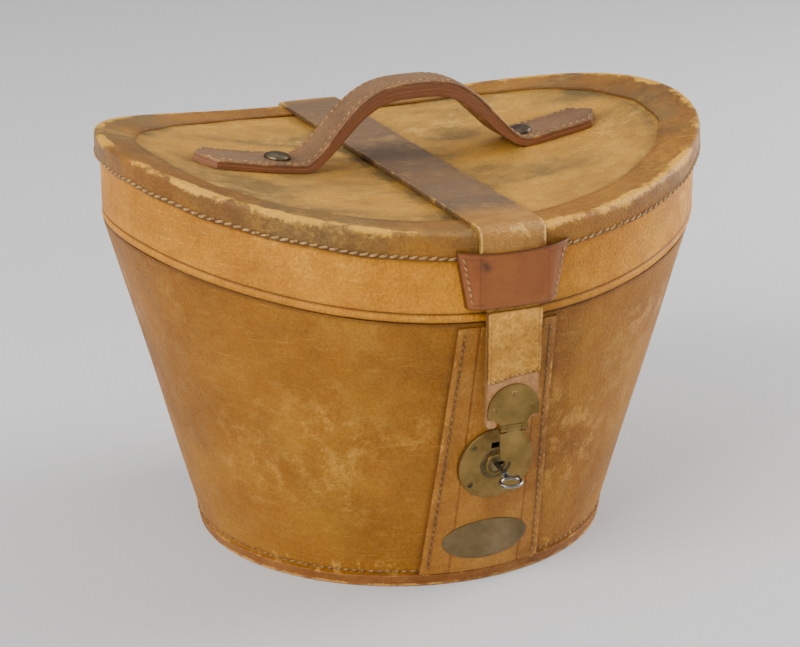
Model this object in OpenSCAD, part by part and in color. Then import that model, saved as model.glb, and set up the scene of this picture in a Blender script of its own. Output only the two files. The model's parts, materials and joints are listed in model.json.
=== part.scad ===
// Leather top-hat box: an oval bucket that narrows to its foot, with a deep lid hinged at the back.
// The rim dips in a saddle, low at the front and back and high at the ends, to follow a hat's brim.
// Origin: middle of the foot, on the surface the box stands on. -Y is the front, with the lock.

/* [Body outline] */
// Half the width of the bucket at its rim, over the leather
rim_half_width = 170; // [150:1:200]
// Half the depth of the bucket at its rim, over the leather
rim_half_depth = 142.5; // [130:0.5:170]
// How far the rim outline leaves an ellipse: negative is squarer
rim_square = -1.4; // [-3:0.1:1]
// Half the width of the bucket at its foot
foot_half_width = 118; // [100:1:140]
// Half the depth of the bucket at its foot
foot_half_depth = 112.6; // [95:0.1:130]
// Height of the parting line at the middle of the front
parting_height = 161.6; // [130:0.1:200]
// How much higher the parting line is at the two ends
end_rise = 27.6; // [12:0.1:34]
// Height of the lid, from the parting line to its top leather
lid_height = 48.2; // [40:0.1:60]

/* [Layers] */
// Thickness of the outer leather
leather_t = 1.8; // [1.2:0.1:2.4]
// Thickness of the pasteboard
board_t = 2.4; // [1.6:0.1:3.2]
// Thickness of the cloth lining
lining_t = 0.8; // [0.5:0.1:1.2]
// Thickness of the inner collar that the lid slides over
collar_t = 2; // [1.4:0.1:3]
// Height of the collar above the parting line
collar_rise = 14; // [8:1:20]
// Depth of the collar below the parting line
collar_drop = 22; // [14:1:34]
// Gap all round between the collar and the lid's lining
lid_clearance = 1; // [0.8:0.1:2]
// Height of the closed slit between lid and bucket
parting_gap = 0.3; // [0.2:0.05:0.6]

/* [Bindings] */
// Thickness of the binding sewn over the lid's rim
binding_t = 2.6; // [1.6:0.1:3]
// Depth of the rim binding down the side of the lid
binding_drop = 13.4; // [10:0.1:20]
// Width of the rim binding on top of the lid
binding_top = 21; // [14:1:30]
// Thickness of the rim binding on top of the lid
binding_top_t = 1.4; // [1:0.1:2]
// Height of the binding round the foot
foot_binding_h = 6.5; // [4:0.5:12]
// Thickness of the binding round the foot
foot_binding_t = 1.2; // [0.8:0.1:2]

/* [Strap, keeper and tongue] */
// Width of the strap across the lid
strap_w = 37.2; // [30:0.2:44]
// Thickness of the strap
strap_t = 3.2; // [2.8:0.1:3.6]
// Width of the keeper at its top
keeper_top_w = 62.6; // [54:0.2:70]
// Width of the keeper at its bottom
keeper_foot_w = 50.6; // [46:0.2:60]
// Height of the keeper at its corners
keeper_h = 31.5; // [26:0.5:36]
// Height of the keeper's lower edge above the parting line
keeper_lift = 9.6; // [8:0.1:14]
// Thickness of the keeper
keeper_t = 1.8; // [1.2:0.1:2.4]
// Width of the tongue under the keeper
tongue_w = 31; // [26:0.5:36]
// Length of the tongue, from its hinge line to the knuckle pin
tongue_l = 65.6; // [56:0.1:72]
// Thickness of the tongue's outer leather
tongue_t = 1.5; // [1:0.1:1.6]
// Thickness of the tongue's backing
tongue_back_t = 1.1; // [0.7:0.1:1.2]

/* [Stay and lock] */
// Width of the stay under the lock, at its top
stay_top_w = 57; // [52:1:70]
// Width of the stay at the foot
stay_foot_w = 71.4; // [60:0.2:80]
// Thickness of the stay
stay_t = 1.2; // [0.8:0.1:1.3]
// Height of the lock's middle, up the slope of the wall
lock_up = 77.5; // [70:0.5:82]
// Radius of the round lock plate
lock_r = 21.8; // [20:0.1:25]
// Thickness of the lock plate at its middle
lock_plate_t = 1.8; // [1.2:0.1:2.2]
// Radius of the turning keyhole barrel
barrel_r = 5; // [4.5:0.1:5.2]
// Radial clearance of the barrel and of the hinge pin
running_fit = 0.05; // [0.02:0.01:0.1]
// How far the bolt rises when the key is turned
bolt_travel = 3.4; // [3:0.1:3.6]
// Length of the key from the plate to the middle of its bow
key_out = 19; // [15:1:26]
// Half the width of the blank oval plate
oval_half_w = 25.2; // [20:0.1:28]
// Half the height of the blank oval plate
oval_half_h = 12.8; // [9:0.1:15]
// Height of the oval plate's middle, up the slope of the wall
oval_up = 27.7; // [22:0.1:32]

/* [Handle] */
// Distance of each stud from the middle of the lid
stud_x = 75; // [65:1:85]
// Width of the handle's two tabs
tab_w = 30; // [24:1:34]
// Width of the handle at the middle of its arch
grip_w = 22; // [18:1:28]
// Half the length of the handle, to the points of its tabs
handle_half_l = 123; // [105:1:130]
// Height of the arch above the tabs
arch_rise = 41; // [30:1:50]
// How far the arch's crown stands to the right of the middle
arch_shift = 5.5; // [0:0.5:6]
// Thickness of the handle at its tabs
tab_t = 5; // [4.4:0.1:6]
// Thickness of the handle at the middle of its arch
grip_t = 9.3; // [7:0.1:12]
// Thickness of the handle's top and bottom leathers
handle_skin_t = 1.7; // [1.2:0.1:2]

/* [Hidden] */

rim_size = [rim_half_width, rim_half_depth, rim_square];
foot_size = [foot_half_width, foot_half_depth, 0];
// Stations round the outline, and round the arcs
stations = 72;
$fn = 96;
// Space left between pieces that are bedded on one another along a curve
bed = 0.02;
// How far the flare is carried over the parting line before it is cut
flare_over = 4;

// The saddle is part of a cylinder lying front to back.
saddle_r = (pow(rim_half_width, 2) + pow(end_rise, 2)) / (2 * end_rise);
lid_foot = parting_height + parting_gap;
lid_top = parting_height + lid_height;
lid_reach = rim_half_width + 30;

board_in = leather_t + board_t;
lining_in = board_in + lining_t;
collar_out = lining_in + lid_clearance;
collar_step_h = 2;

// The bottom is a leather, a board and a lining, laid on each other.
bottom_board_z = leather_t;
floor_z = bottom_board_z + board_t;

// The stay ends a little under the parting line, and is cut from a slab deep enough for its curve.
stay_below_top = 2;
stay_reach = 24;

// The wall's lean at the front, where the lock is.
lean = atan((rim_half_depth - foot_half_depth) / parting_height);
plate_front = stay_t + lock_plate_t;
boss_r = barrel_r + 1.5;
boss_h = 1.2;

// Lock case, in the wall's own frame: across, up the slope, and outwards.
case_wall = 1;
case_half_w = 11.5;
case_low = -13;
case_high = 17.5;
case_back = -9;
case_front = 0.2;
case_fit = 0.2;
staple_up = 11.7;
staple_w = 6;
staple_wire = 1.4;
staple_over = 6.4;
slot_w = staple_w + 1.4;
slot_h = staple_wire + 2;
bolt_half_w = 1.3;
bolt_base_half_w = 5;
bolt_back = -4.6;
bolt_front = -2.6;
key_shank_r = 1.3;
key_bit_reach = 4.1;
key_bit_half_t = 0.7;
key_bit_l = 3;
key_tip = case_back + case_wall + 1.5;
key_neck = plate_front + boss_h + 0.8;

// The tongue bends at a line just under the strap's end, behind the keeper's lower edge.
keeper_foot_z = parting_height + keeper_lift;
hinge_line_z = keeper_foot_z - 1.8;
hinge_line_y = -(rim_half_depth + binding_t + strap_t);
hinge_line_gap = 0.4;
tongue_y = hinge_line_y + tongue_half_t();
knuckle_z = hinge_line_z - tongue_l;
knuckle_r = 2;
knuckle_pin_r = 1;
knuckle_half_w = 8;
hasp_t = 1.2;
hasp_y = hinge_line_y - hasp_t / 2;
staple_drop = 18.1;
flap_drop = 19.6;

// The lid's hinge line is on the outside of the back wall.
hinge_gap = 3;
leaf_t = 2.4;
leaf_h = 40;

// The arch is a little shorter than the space between the studs, so it may stand off centre.
arch_half_l = stud_x - 5;
stud_shank_r = 2;
washer_t = 1;
tab_point_l = 9;

function tongue_half_t() = (tongue_t + tongue_back_t) / 2;

// Support distance of an outline whose edge faces t degrees from the front.
function support(size, t) =
    (size[0] + size[1]) / 2 - size[2] + (size[1] - size[0]) / 2 * cos(2 * t) + size[2] * cos(4 * t);

// How the support distance changes with the angle, per radian.
function support_slope(size, t) = (size[0] - size[1]) * sin(2 * t) - 4 * size[2] * sin(4 * t);

// Point of an outline that faces t degrees from the front, moved outwards by out.
function outline(size, out, t) = [
    (support(size, t) + out) * sin(t) + support_slope(size, t) * cos(t),
    -(support(size, t) + out) * cos(t) + support_slope(size, t) * sin(t)
];

// Height of the saddle above its lowest line, at a distance x from the middle.
function saddle(x) = saddle_r - sqrt(pow(saddle_r, 2) - pow(x, 2));

// Height of the parting line where the rim faces t degrees from the front.
function parting(t) = parting_height + saddle(outline(rim_size, 0, t)[0]);

// Point of the flared wall at height z, moved outwards by out.
function wall(t, z, out) =
    let (f = z / parting(t), low = outline(foot_size, out, t), high = outline(rim_size, out, t))
    [low[0] + (high[0] - low[0]) * f, low[1] + (high[1] - low[1]) * f, z];

// Point above or below the parting line on an upright wall.
function upright(t, rise, out) =
    let (p = outline(rim_size, out, t))
    [p[0], p[1], parting(t) + rise];

// Tells whether an edge of a cross-section rises, so that layers which touch share their creases.
function rising(section, j, k) = section[k][2] > section[j][2];

// Sweeps a cross-section, given as a function of the facing angle, right round the outline.
module sweep(section) {
    m = len(section(0));
    points = [for (i = [0 : stations - 1]) each section(i * 360 / stations)];
    faces = [
        for (i = [0 : stations - 1], j = [0 : m - 1])
            let (a = i * m, b = (i + 1) % stations * m, k = (j + 1) % m)
            each rising(section(0), j, k)
                ? [[a + j, b + j, b + k], [a + j, b + k, a + k]]
                : [[a + j, b + j, a + k], [b + j, b + k, a + k]]
    ];
    polyhedron(points, faces);
}

// Layer of the flared wall between two distances outwards, carried on over the parting line.
module flare(inner, outer) {
    sweep(function (t) [
        wall(t, 0, inner), wall(t, parting(t) + flare_over, inner),
        wall(t, parting(t) + flare_over, outer), wall(t, 0, outer)
    ]);
}

// Solid of the whole flare, moved outwards by out, and carried on over the parting line.
module envelope(out) {
    points = [
        for (i = [0 : stations - 1]) wall(i * 360 / stations, 0, out),
        for (i = [0 : stations - 1]) let (t = i * 360 / stations) wall(t, parting(t) + flare_over, out),
        [0, 0, 0],
        [0, 0, parting_height + flare_over]
    ];
    faces = [
        for (i = [0 : stations - 1])
            let (k = (i + 1) % stations)
            each [
                [i, i + stations, k + stations], [i, k + stations, k],
                [i, k, 2 * stations], [i + stations, 2 * stations + 1, k + stations]
            ]
    ];
    polyhedron(points, faces);
}

// Flat outline, moved outwards by out.
module plan(size, out) {
    polygon([for (i = [0 : stations - 1]) outline(size, out, i * 360 / stations)]);
}

// Everything above the saddle that passes through height z at the middle.
module above_saddle(z) {
    translate([0, 0, z + saddle_r])
        rotate([90, 0, 0])
            cylinder(r = saddle_r, h = 2 * lid_reach, center = true, $fn = 360);
}

// Slab of the lid between two saddles.
module lid_slab(low, high) {
    difference() {
        above_saddle(low);
        above_saddle(high);
        translate([0, 0, high + end_rise * 2 + saddle_r]) cube(2 * saddle_r, center = true);
    }
}

// Upright prism of the lid's outline, from well under the lid to well over it.
module lid_prism(out) {
    translate([0, 0, parting_height / 2]) linear_extrude(parting_height + lid_height) plan(rim_size, out);
}

// Upright ring of the lid's outline between two distances outwards.
module lid_ring(inner, outer) {
    translate([0, 0, parting_height / 2])
        linear_extrude(parting_height + lid_height)
            difference() {
                plan(rim_size, outer);
                plan(rim_size, inner);
            }
}

// Places a thing on the front wall: x across, y inwards, z up the slope from the foot.
module on_front() {
    translate([0, -foot_half_depth, 0]) rotate([lean, 0, 0]) children();
}

// Places a thing on the front wall with z outwards, x across and y up, at the lock's middle.
module at_lock(up = lock_up) {
    on_front() translate([0, 0, up]) rotate([90, 0, 0]) children();
}

module lock_hole() {
    at_lock()
        translate([-case_half_w - case_fit, case_low - case_fit, case_back - 4])
            cube([2 * (case_half_w + case_fit), case_high - case_low + 2 * case_fit, -case_back + 14]);
}

module body_board() {
    color("#A08C6E")
        difference() {
            flare(-board_in, -leather_t);
            above_saddle(parting_height);
            lock_hole();
        }
}

module body_leather() {
    color("#B8792F")
        difference() {
            flare(-leather_t, 0);
            above_saddle(parting_height);
            lock_hole();
        }
}

module bottom_leather() {
    color("#9A6428") linear_extrude(leather_t) plan(foot_size, -board_in - bed);
}

module bottom_board() {
    color("#A08C6E") translate([0, 0, bottom_board_z]) linear_extrude(board_t) plan(foot_size, -board_in - bed);
}

module foot_binding() {
    color("#8A5030")
        difference() {
            flare(0, foot_binding_t);
            translate([-lid_reach, -lid_reach, foot_binding_h]) cube(2 * lid_reach);
        }
}

module floor_lining() {
    color("#C9BB98") translate([0, 0, floor_z]) linear_extrude(lining_t) plan(foot_size, -board_in - bed);
}

module wall_lining() {
    color("#C9BB98")
        difference() {
            flare(-lining_in, -board_in);
            above_saddle(parting_height);
            translate([-lid_reach, -lid_reach, floor_z + lining_t - 2 * lid_reach]) cube(2 * lid_reach);
            lock_hole();
        }
}

// Inner band that stands up over the parting line, stepped in so that the lid slides over it.
module collar() {
    color("#B9A67F") {
        intersection() {
            flare(-lining_in - collar_t, -lining_in);
            lid_slab(parting_height - collar_drop, parting_height);
        }
        intersection() {
            lid_ring(-collar_out - collar_t, -collar_out);
            lid_slab(parting_height - collar_step_h, parting_height + collar_rise);
        }
    }
}

// Stitched leather stay that stiffens the front under the lock.
module front_stay() {
    top_up = parting_height / cos(lean) - stay_below_top;
    color("#A96E2C")
        difference() {
            intersection() {
                envelope(stay_t);
                on_front()
                    rotate([90, 0, 0])
                        linear_extrude(stay_reach, center = true)
                            polygon([
                                [-stay_foot_w / 2, 0], [stay_foot_w / 2, 0],
                                [stay_top_w / 2, top_up], [-stay_top_w / 2, top_up]
                            ]);
                translate([-lid_reach, -lid_reach, foot_binding_h]) cube(2 * lid_reach);
            }
            envelope(0);
            lock_hole();
        }
}

// Domed nail driven in along the wall's outward direction, its head's edge at z = 0.
module nail(head_r, head_h, shank_r, shank_l) {
    cap_r = (pow(head_r, 2) + pow(head_h, 2)) / (2 * head_h);
    intersection() {
        translate([0, 0, head_h - cap_r]) sphere(cap_r);
        cylinder(r = head_r, h = head_h);
    }
    translate([0, 0, -shank_l]) cylinder(r = shank_r, h = shank_l);
}

// Blank oval plate, bent to the wall.
module name_plate() {
    plate_t = 1.2;
    color("#7A6A45")
        intersection() {
            difference() {
                envelope(stay_t + plate_t);
                envelope(stay_t);
            }
            at_lock(oval_up)
                translate([0, 0, -12])
                    linear_extrude(24)
                        scale([1, oval_half_h / oval_half_w])
                            circle(oval_half_w);
        }
}

module lock_plate() {
    color("#7F6F48")
        difference() {
            at_lock() {
                translate([0, 0, -8]) cylinder(r = lock_r, h = plate_front + 8);
                translate([0, 0, plate_front]) cylinder(r = boss_r, h = boss_h);
            }
            envelope(stay_t);
            at_lock() {
                translate([0, 0, -10]) cylinder(r = barrel_r + running_fit, h = 20);
                translate([-slot_w / 2, staple_up - slot_h / 2, -10]) cube([slot_w, slot_h, 20]);
            }
        }
}

module lock_nails() {
    nail_x = 14.1;
    nail_y = 11.8;
    color("#6C5D3C")
        at_lock()
            for (x = [-nail_x, nail_x], y = [-nail_y, nail_y])
                translate([x, y, plate_front]) nail(1.6, 0.9, 0.7, 6);
}

module lock_case() {
    color("#6F6A5A")
        at_lock()
            difference() {
                translate([-case_half_w, case_low, case_back])
                    cube([2 * case_half_w, case_high - case_low, case_front - case_back]);
                difference() {
                    translate([-case_half_w + case_wall, case_low + case_wall, case_back + case_wall])
                        cube([
                            2 * (case_half_w - case_wall), case_high - case_low - 2 * case_wall,
                            case_front - case_back
                        ]);
                    for (side = [-1, 1])
                        translate([side * (bolt_base_half_w + 0.1 + 0.75) - 0.75, barrel_r + 0.5, case_back])
                            cube([1.5, 5, bolt_front - case_back + 0.4]);
                }
                translate([0, 0, case_back - 1]) cylinder(r = barrel_r / 2 + running_fit, h = 3);
            }
}

// Lower leaf of the leather hinge, sewn on the back of the bucket.
module hinge_leaf() {
    color("#8C7560")
        intersection() {
            flare(0, leaf_t);
            lid_slab(parting_height - leaf_h, parting_height - hinge_gap);
            translate([-strap_w / 2, 0, 0]) cube([strap_w, 2 * rim_half_depth, 2 * parting_height]);
        }
}

module lid_leather() {
    color("#C08334")
        intersection() {
            lid_ring(-leather_t, 0);
            lid_slab(lid_foot, lid_top - leather_t);
        }
}

module lid_board() {
    color("#A08C6E")
        intersection() {
            lid_ring(-board_in, -leather_t);
            lid_slab(lid_foot, lid_top - leather_t - board_t);
        }
}

module lid_top_board() {
    color("#A08C6E")
        intersection() {
            lid_prism(-leather_t);
            lid_slab(lid_top - leather_t - board_t, lid_top - leather_t);
        }
}

module lid_top_leather() {
    color("#C28A3C")
        intersection() {
            lid_prism(0);
            lid_slab(lid_top - leather_t, lid_top);
        }
}

module rim_binding() {
    color("#A98250") rim_binding_solid();
}

module rim_binding_solid() {
    intersection() {
        lid_ring(0, binding_t);
        lid_slab(lid_top - binding_drop, lid_top + binding_top_t);
    }
    intersection() {
        lid_ring(-binding_top, 0);
        lid_slab(lid_top, lid_top + binding_top_t);
    }
}

module lid_lining() {
    ceiling = lid_top - leather_t - board_t;
    color("#C9BB98") {
        intersection() {
            lid_ring(-lining_in, -board_in);
            lid_slab(lid_foot, ceiling);
        }
        intersection() {
            lid_prism(-lining_in);
            lid_slab(ceiling - lining_t, ceiling);
        }
    }
}

// Strap that starts at the hinge, lies over the lid and runs down the front behind the keeper.
module lid_strap() {
    color("#8C7560")
        difference() {
            intersection() {
                union() {
                    intersection() {
                        lid_prism(binding_t + strap_t);
                        lid_slab(lid_top, lid_top + strap_t + binding_top_t / 2);
                    }
                    intersection() {
                        lid_ring(0, binding_t + strap_t);
                        lid_slab(lid_foot, lid_top);
                    }
                }
                strap_reach();
            }
            rim_binding_solid();
        }
}

// Space that the strap may fill: its width, down to its hinge line in front and at the back.
module strap_reach() {
    front_foot = hinge_line_z + hinge_line_gap;
    back_foot = parting_height + hinge_gap;
    translate([-strap_w / 2, -lid_reach, front_foot]) cube([strap_w, lid_reach, lid_top]);
    translate([-strap_w / 2, 0, back_foot]) cube([strap_w, lid_reach, lid_top]);
}

// Outline of the keeper, wider at its top, with a sagging top edge.
module keeper_face() {
    sag = 2;
    sag_r = (pow(keeper_top_w / 2, 2) + pow(sag, 2)) / (2 * sag);
    difference() {
        polygon([
            [-keeper_foot_w / 2, 0], [keeper_foot_w / 2, 0],
            [keeper_top_w / 2, keeper_h], [-keeper_top_w / 2, keeper_h]
        ]);
        translate([0, keeper_h - sag + sag_r]) circle(sag_r, $fn = 180);
    }
}

module keeper() {
    wing = binding_t + keeper_t;
    bridge = binding_t + strap_t + bed + keeper_t;
    bridge_half_w = strap_w / 2 + bed + keeper_t;
    color("#8F552F")
        difference() {
            intersection() {
                union() {
                    lid_ring(bed, wing);
                    intersection() {
                        lid_ring(bed, bridge);
                        translate([-bridge_half_w, -lid_reach, 0]) cube([2 * bridge_half_w, lid_reach, 2 * lid_top]);
                    }
                }
                translate([0, 0, keeper_foot_z])
                    rotate([90, 0, 0])
                        linear_extrude(lid_reach)
                            keeper_face();
            }
            rim_binding_solid();
            translate([-strap_w / 2 - bed, -rim_half_depth - binding_t - strap_t - bed, 0])
                cube([strap_w + 2 * bed, rim_half_depth, 2 * lid_top]);
        }
}

// Share of the arch's height at x: 1 at its crown, 0 on the tabs.
function arch(x) = pow(cos(90 * pow(min(abs(x - arch_shift) / arch_half_l, 1), 1.5)), 2);

// Middle line of the handle, seen from the front.
function handle_mid(x) = [
    x, lid_top + saddle(x) + (tab_t / 2 + bed) / cos(asin(x / saddle_r)) + arch_rise * arch(x)
];

function handle_thickness(x) = tab_t + (grip_t - tab_t) * pow(arch(x), 0.75);

// Point beside the handle's middle line, square to it.
function handle_side(x, away) =
    let (a = handle_mid(x - 0.01), b = handle_mid(x + 0.01), d = (b - a) / norm(b - a))
    handle_mid(x) + away * [-d[1], d[0]];

// Layer of the handle between two curves, given as functions of x.
module handle_layer(low, high) {
    step = 3;
    turns = handle_half_l / step;
    xs = [for (i = [-turns : turns]) i * step];
    intersection() {
        rotate([90, 0, 0])
            linear_extrude(2 * tab_w, center = true)
                polygon(concat(
                    [for (x = xs) handle_side(x, low(x))],
                    [for (i = [len(xs) - 1 : -1 : 0]) handle_side(xs[i], high(xs[i]))]
                ));
        linear_extrude(2 * lid_top) handle_plan();
    }
}

// Half the width of the handle at x: a narrow grip, wide tabs and pointed ends.
function handle_half_w(x) = min(
    tab_w / 2 - (tab_w - grip_w) / 2 * sqrt(arch(x)),
    (handle_half_l - abs(x)) * tab_w / 2 / tab_point_l
);

// The handle from above.
module handle_plan() {
    step = 3;
    turns = handle_half_l / step;
    xs = [for (i = [-turns : turns]) i * step];
    polygon(concat(
        [for (x = xs) [x, -handle_half_w(x)]],
        [for (i = [len(xs) - 2 : -1 : 1]) [xs[i], handle_half_w(xs[i])]]
    ));
}

module handle_core() {
    color("#A85A34")
        handle_layer(
            function (x) -handle_thickness(x) / 2 + handle_skin_t,
            function (x) handle_thickness(x) / 2 - handle_skin_t
        );
}

module handle_top() {
    color("#8C7560")
        handle_layer(
            function (x) handle_thickness(x) / 2 - handle_skin_t,
            function (x) handle_thickness(x) / 2
        );
}

module handle_under() {
    color("#B0623A")
        handle_layer(
            function (x) -handle_thickness(x) / 2,
            function (x) -handle_thickness(x) / 2 + handle_skin_t
        );
}

// Places a thing on the lid at a stud, with z square to the saddle.
module at_stud(side) {
    x = side * stud_x;
    tilt = asin(x / saddle_r);
    translate([x, 0, lid_top + saddle(x)]) rotate([0, -tilt, 0]) children();
}

module stud(side) {
    head_r = 7.6;
    head_h = 3.6;
    color("#5C554C")
        at_stud(side)
            translate([0, 0, tab_t + 2 * bed])
                nail(head_r, head_h, stud_shank_r, tab_t + leather_t + board_t + lining_t + washer_t + 0.4);
}

// Washer that the stud is closed on, inside the lid.
module washer(side) {
    color("#6F6A5A")
        at_stud(side)
            translate([0, 0, -leather_t - board_t - lining_t - washer_t - 5 * bed])
                difference() {
                    cylinder(r = 3 * stud_shank_r, h = washer_t);
                    translate([0, 0, -washer_t]) cylinder(r = stud_shank_r + bed, h = 3 * washer_t);
                }
}

// Outline of the tongue, hanging down from its hinge line.
module tongue_face(width, length) {
    half_w = width / 2;
    round_r = 12;
    translate([0, -hinge_line_gap])
        intersection() {
            translate([-half_w, -length]) square([width, length]);
            union() {
                translate([-half_w, -length + round_r]) square([width, length]);
                translate([0, -length + half_w + 2]) circle(half_w + 2);
            }
        }
}

// Places a flat shape on the tongue: x across, y up from the hinge line, thickness outwards.
module on_tongue(from) {
    translate([0, tongue_y - from, hinge_line_z]) rotate([90, 0, 0]) children();
}

module tongue() {
    color("#A5774A")
        on_tongue(tongue_half_t() - tongue_t)
            linear_extrude(tongue_t)
                tongue_face(tongue_w, tongue_l - knuckle_r - 1);
}

module tongue_backing() {
    color("#B98A70")
        on_tongue(-tongue_half_t())
            linear_extrude(tongue_back_t)
                tongue_face(tongue_w - 1, tongue_l - knuckle_r - 0.5);
}

// Fan-shaped brass plate riveted to the tongue, with the outer knuckles of the hasp's hinge.
module hasp_plate() {
    fan_r = 15;
    fan_up = tongue_l - 52.4;
    color("#84744A") {
        difference() {
            on_tongue(tongue_half_t())
                linear_extrude(hasp_t)
                    translate([0, -tongue_l])
                        difference() {
                            union() {
                                translate([0, fan_up - 4]) circle(fan_r);
                                translate([-knuckle_half_w, 0]) square([2 * knuckle_half_w, fan_up]);
                            }
                            translate([-fan_r, -fan_r]) square([2 * fan_r, fan_r]);
                            for (side = [-1, 1])
                                translate([side * (knuckle_half_w + 5), 1]) circle(5);
                        }
            at_knuckle() cylinder(r = knuckle_r + running_fit, h = 40, center = true);
        }
        for (side = [-1, 1]) knuckle(side * 6.1, 3.8, 1);
    }
}

module at_knuckle() {
    translate([0, hasp_y, knuckle_z]) rotate([0, 90, 0]) children();
}

// One barrel of the hasp's hinge, joined to its leaf by a web above (1) or below (-1) the pin.
module knuckle(x, length, up) {
    translate([x, 0, 0])
        difference() {
            union() {
                at_knuckle() cylinder(r = knuckle_r, h = length, center = true);
                translate([-length / 2, hasp_y - hasp_t / 2, knuckle_z + (up > 0 ? 0 : -knuckle_r - 1)])
                    cube([length, hasp_t, knuckle_r + 1]);
            }
            at_knuckle() cylinder(r = knuckle_pin_r + running_fit, h = length + 1, center = true);
        }
}

module knuckle_pin() {
    color("#6C5D3C") at_knuckle() cylinder(r = knuckle_pin_r, h = 2 * knuckle_half_w, center = true);
}

module hasp_rivets() {
    rivet_up = tongue_l - 52.4;
    color("#6C5D3C")
        for (p = [[-10.5, rivet_up - 2], [0, rivet_up + 6], [10.5, rivet_up - 2]])
            on_tongue(tongue_half_t() + hasp_t)
                translate([p[0], p[1] - tongue_l, 0])
                    nail(1.4, 0.7, 0.7, hasp_t + tongue_t + tongue_back_t);
}

// Brass flap below the knuckle, with the staple that enters the lock.
module hasp_flap() {
    flap_half_w = 7.6;
    staple_l = 2 * tongue_half_t() + stay_t + lock_plate_t + staple_over;
    color("#84744A") {
        knuckle(0, 8, -1);
        translate([0, hasp_y + hasp_t / 2, knuckle_z])
            rotate([90, 0, 0])
                linear_extrude(hasp_t)
                    difference() {
                        intersection() {
                            translate([-flap_half_w, -flap_drop])
                                square([2 * flap_half_w, flap_drop - knuckle_r - 0.5]);
                            translate([0, -flap_drop + 11]) circle(11);
                        }
                        translate([-4.2, -knuckle_r - 0.6]) square([8.4, 0.2]);
                    }
        difference() {
            translate([-staple_w / 2, hasp_y, knuckle_z - staple_drop - staple_wire / 2])
                cube([staple_w, staple_l, staple_wire]);
            translate([-staple_w / 2 + staple_wire, hasp_y + hasp_t, knuckle_z - staple_drop - staple_wire])
                cube([staple_w - 2 * staple_wire, staple_l - hasp_t - staple_wire, 2 * staple_wire]);
        }
    }
}

// Barrel that turns with the key, slotted for the key's bit.
module key_barrel() {
    recess = 0.4;
    front = plate_front + boss_h - recess;
    back = case_back + case_wall + 0.3;
    slot_half = 0.9;
    color("#5F553A")
        at_lock()
            difference() {
                union() {
                    translate([0, 0, back]) cylinder(r = barrel_r, h = front - back);
                    translate([0, 0, case_back]) cylinder(r = barrel_r / 2, h = back - case_back + 0.1);
                }
                translate([0, 0, back + 1]) cylinder(r = key_shank_r + 0.15, h = 20);
                translate([0, -slot_half, back + 1]) cube([key_bit_reach + 0.2, 2 * slot_half, 20]);
            }
}

module lock_bolt() {
    base_low = barrel_r + 0.5;
    base_h = 1.5;
    tip = 9.6;
    color("#77736A")
        at_lock() {
            translate([-bolt_base_half_w, base_low, bolt_back])
                cube([2 * bolt_base_half_w, base_h, bolt_front - bolt_back]);
            translate([-bolt_half_w, base_low, bolt_back])
                cube([2 * bolt_half_w, tip - base_low, bolt_front - bolt_back]);
        }
}

// Pin of the key, inside the lock, with the bit that turns the barrel.
module key_pin() {
    color("#8B8A86")
        at_lock() {
            translate([0, 0, key_tip]) cylinder(r = key_shank_r, h = key_neck - key_tip);
            translate([0, -key_bit_half_t, key_tip]) cube([key_bit_reach, 2 * key_bit_half_t, key_bit_l]);
        }
}

// Outer half of the key: its neck, with a collar, and an oval ring bow that lies across.
module key_bow() {
    bow_out = plate_front + key_out;
    bow_half_w = 6.9;
    bow_half_l = 5.2;
    wire_r = 1.1;
    collar_r = 1.9;
    collar_h = 1.2;
    color("#8B8A86")
        at_lock() {
            translate([0, 0, key_neck])
                cylinder(r = key_shank_r, h = bow_out - bow_half_l + wire_r / 2 - key_neck);
            translate([0, 0, bow_out - bow_half_l - 2 * collar_h]) cylinder(r = collar_r, h = collar_h);
            translate([0, 0, bow_out])
                rotate([90, 0, 0])
                    linear_extrude(2 * wire_r, center = true)
                        difference() {
                            scale([1, bow_half_l / bow_half_w]) circle(bow_half_w);
                            scale([1, (bow_half_l - 2 * wire_r) / (bow_half_w - 2 * wire_r)])
                                circle(bow_half_w - 2 * wire_r);
                        }
        }
}

body_board();
body_leather();
bottom_board();
bottom_leather();
foot_binding();
wall_lining();
floor_lining();
collar();
front_stay();
name_plate();
lock_plate();
lock_nails();
lock_case();
hinge_leaf();
lid_board();
lid_leather();
lid_top_board();
lid_top_leather();
rim_binding();
lid_lining();
lid_strap();
keeper();
handle_core();
handle_top();
handle_under();
stud(-1);  // stud_left
stud(1);  // stud_right
washer(-1);  // washer_left
washer(1);  // washer_right
tongue();
tongue_backing();
hasp_plate();
hasp_rivets();
knuckle_pin();
hasp_flap();
key_barrel();
lock_bolt();
key_pin();
key_bow();
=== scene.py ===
# %% [markdown]
# # A leather top-hat box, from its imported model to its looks
#
# The box is an oval leather bucket that narrows to its foot, with a deep lid whose rim dips
# like a saddle to follow a hat's brim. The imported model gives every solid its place. This
# lesson dresses those solids: each layer of leather gets its own surface, worked out with
# numpy, and a procedural material made from what the real hide, thread or metal is.

import json
import math

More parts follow.
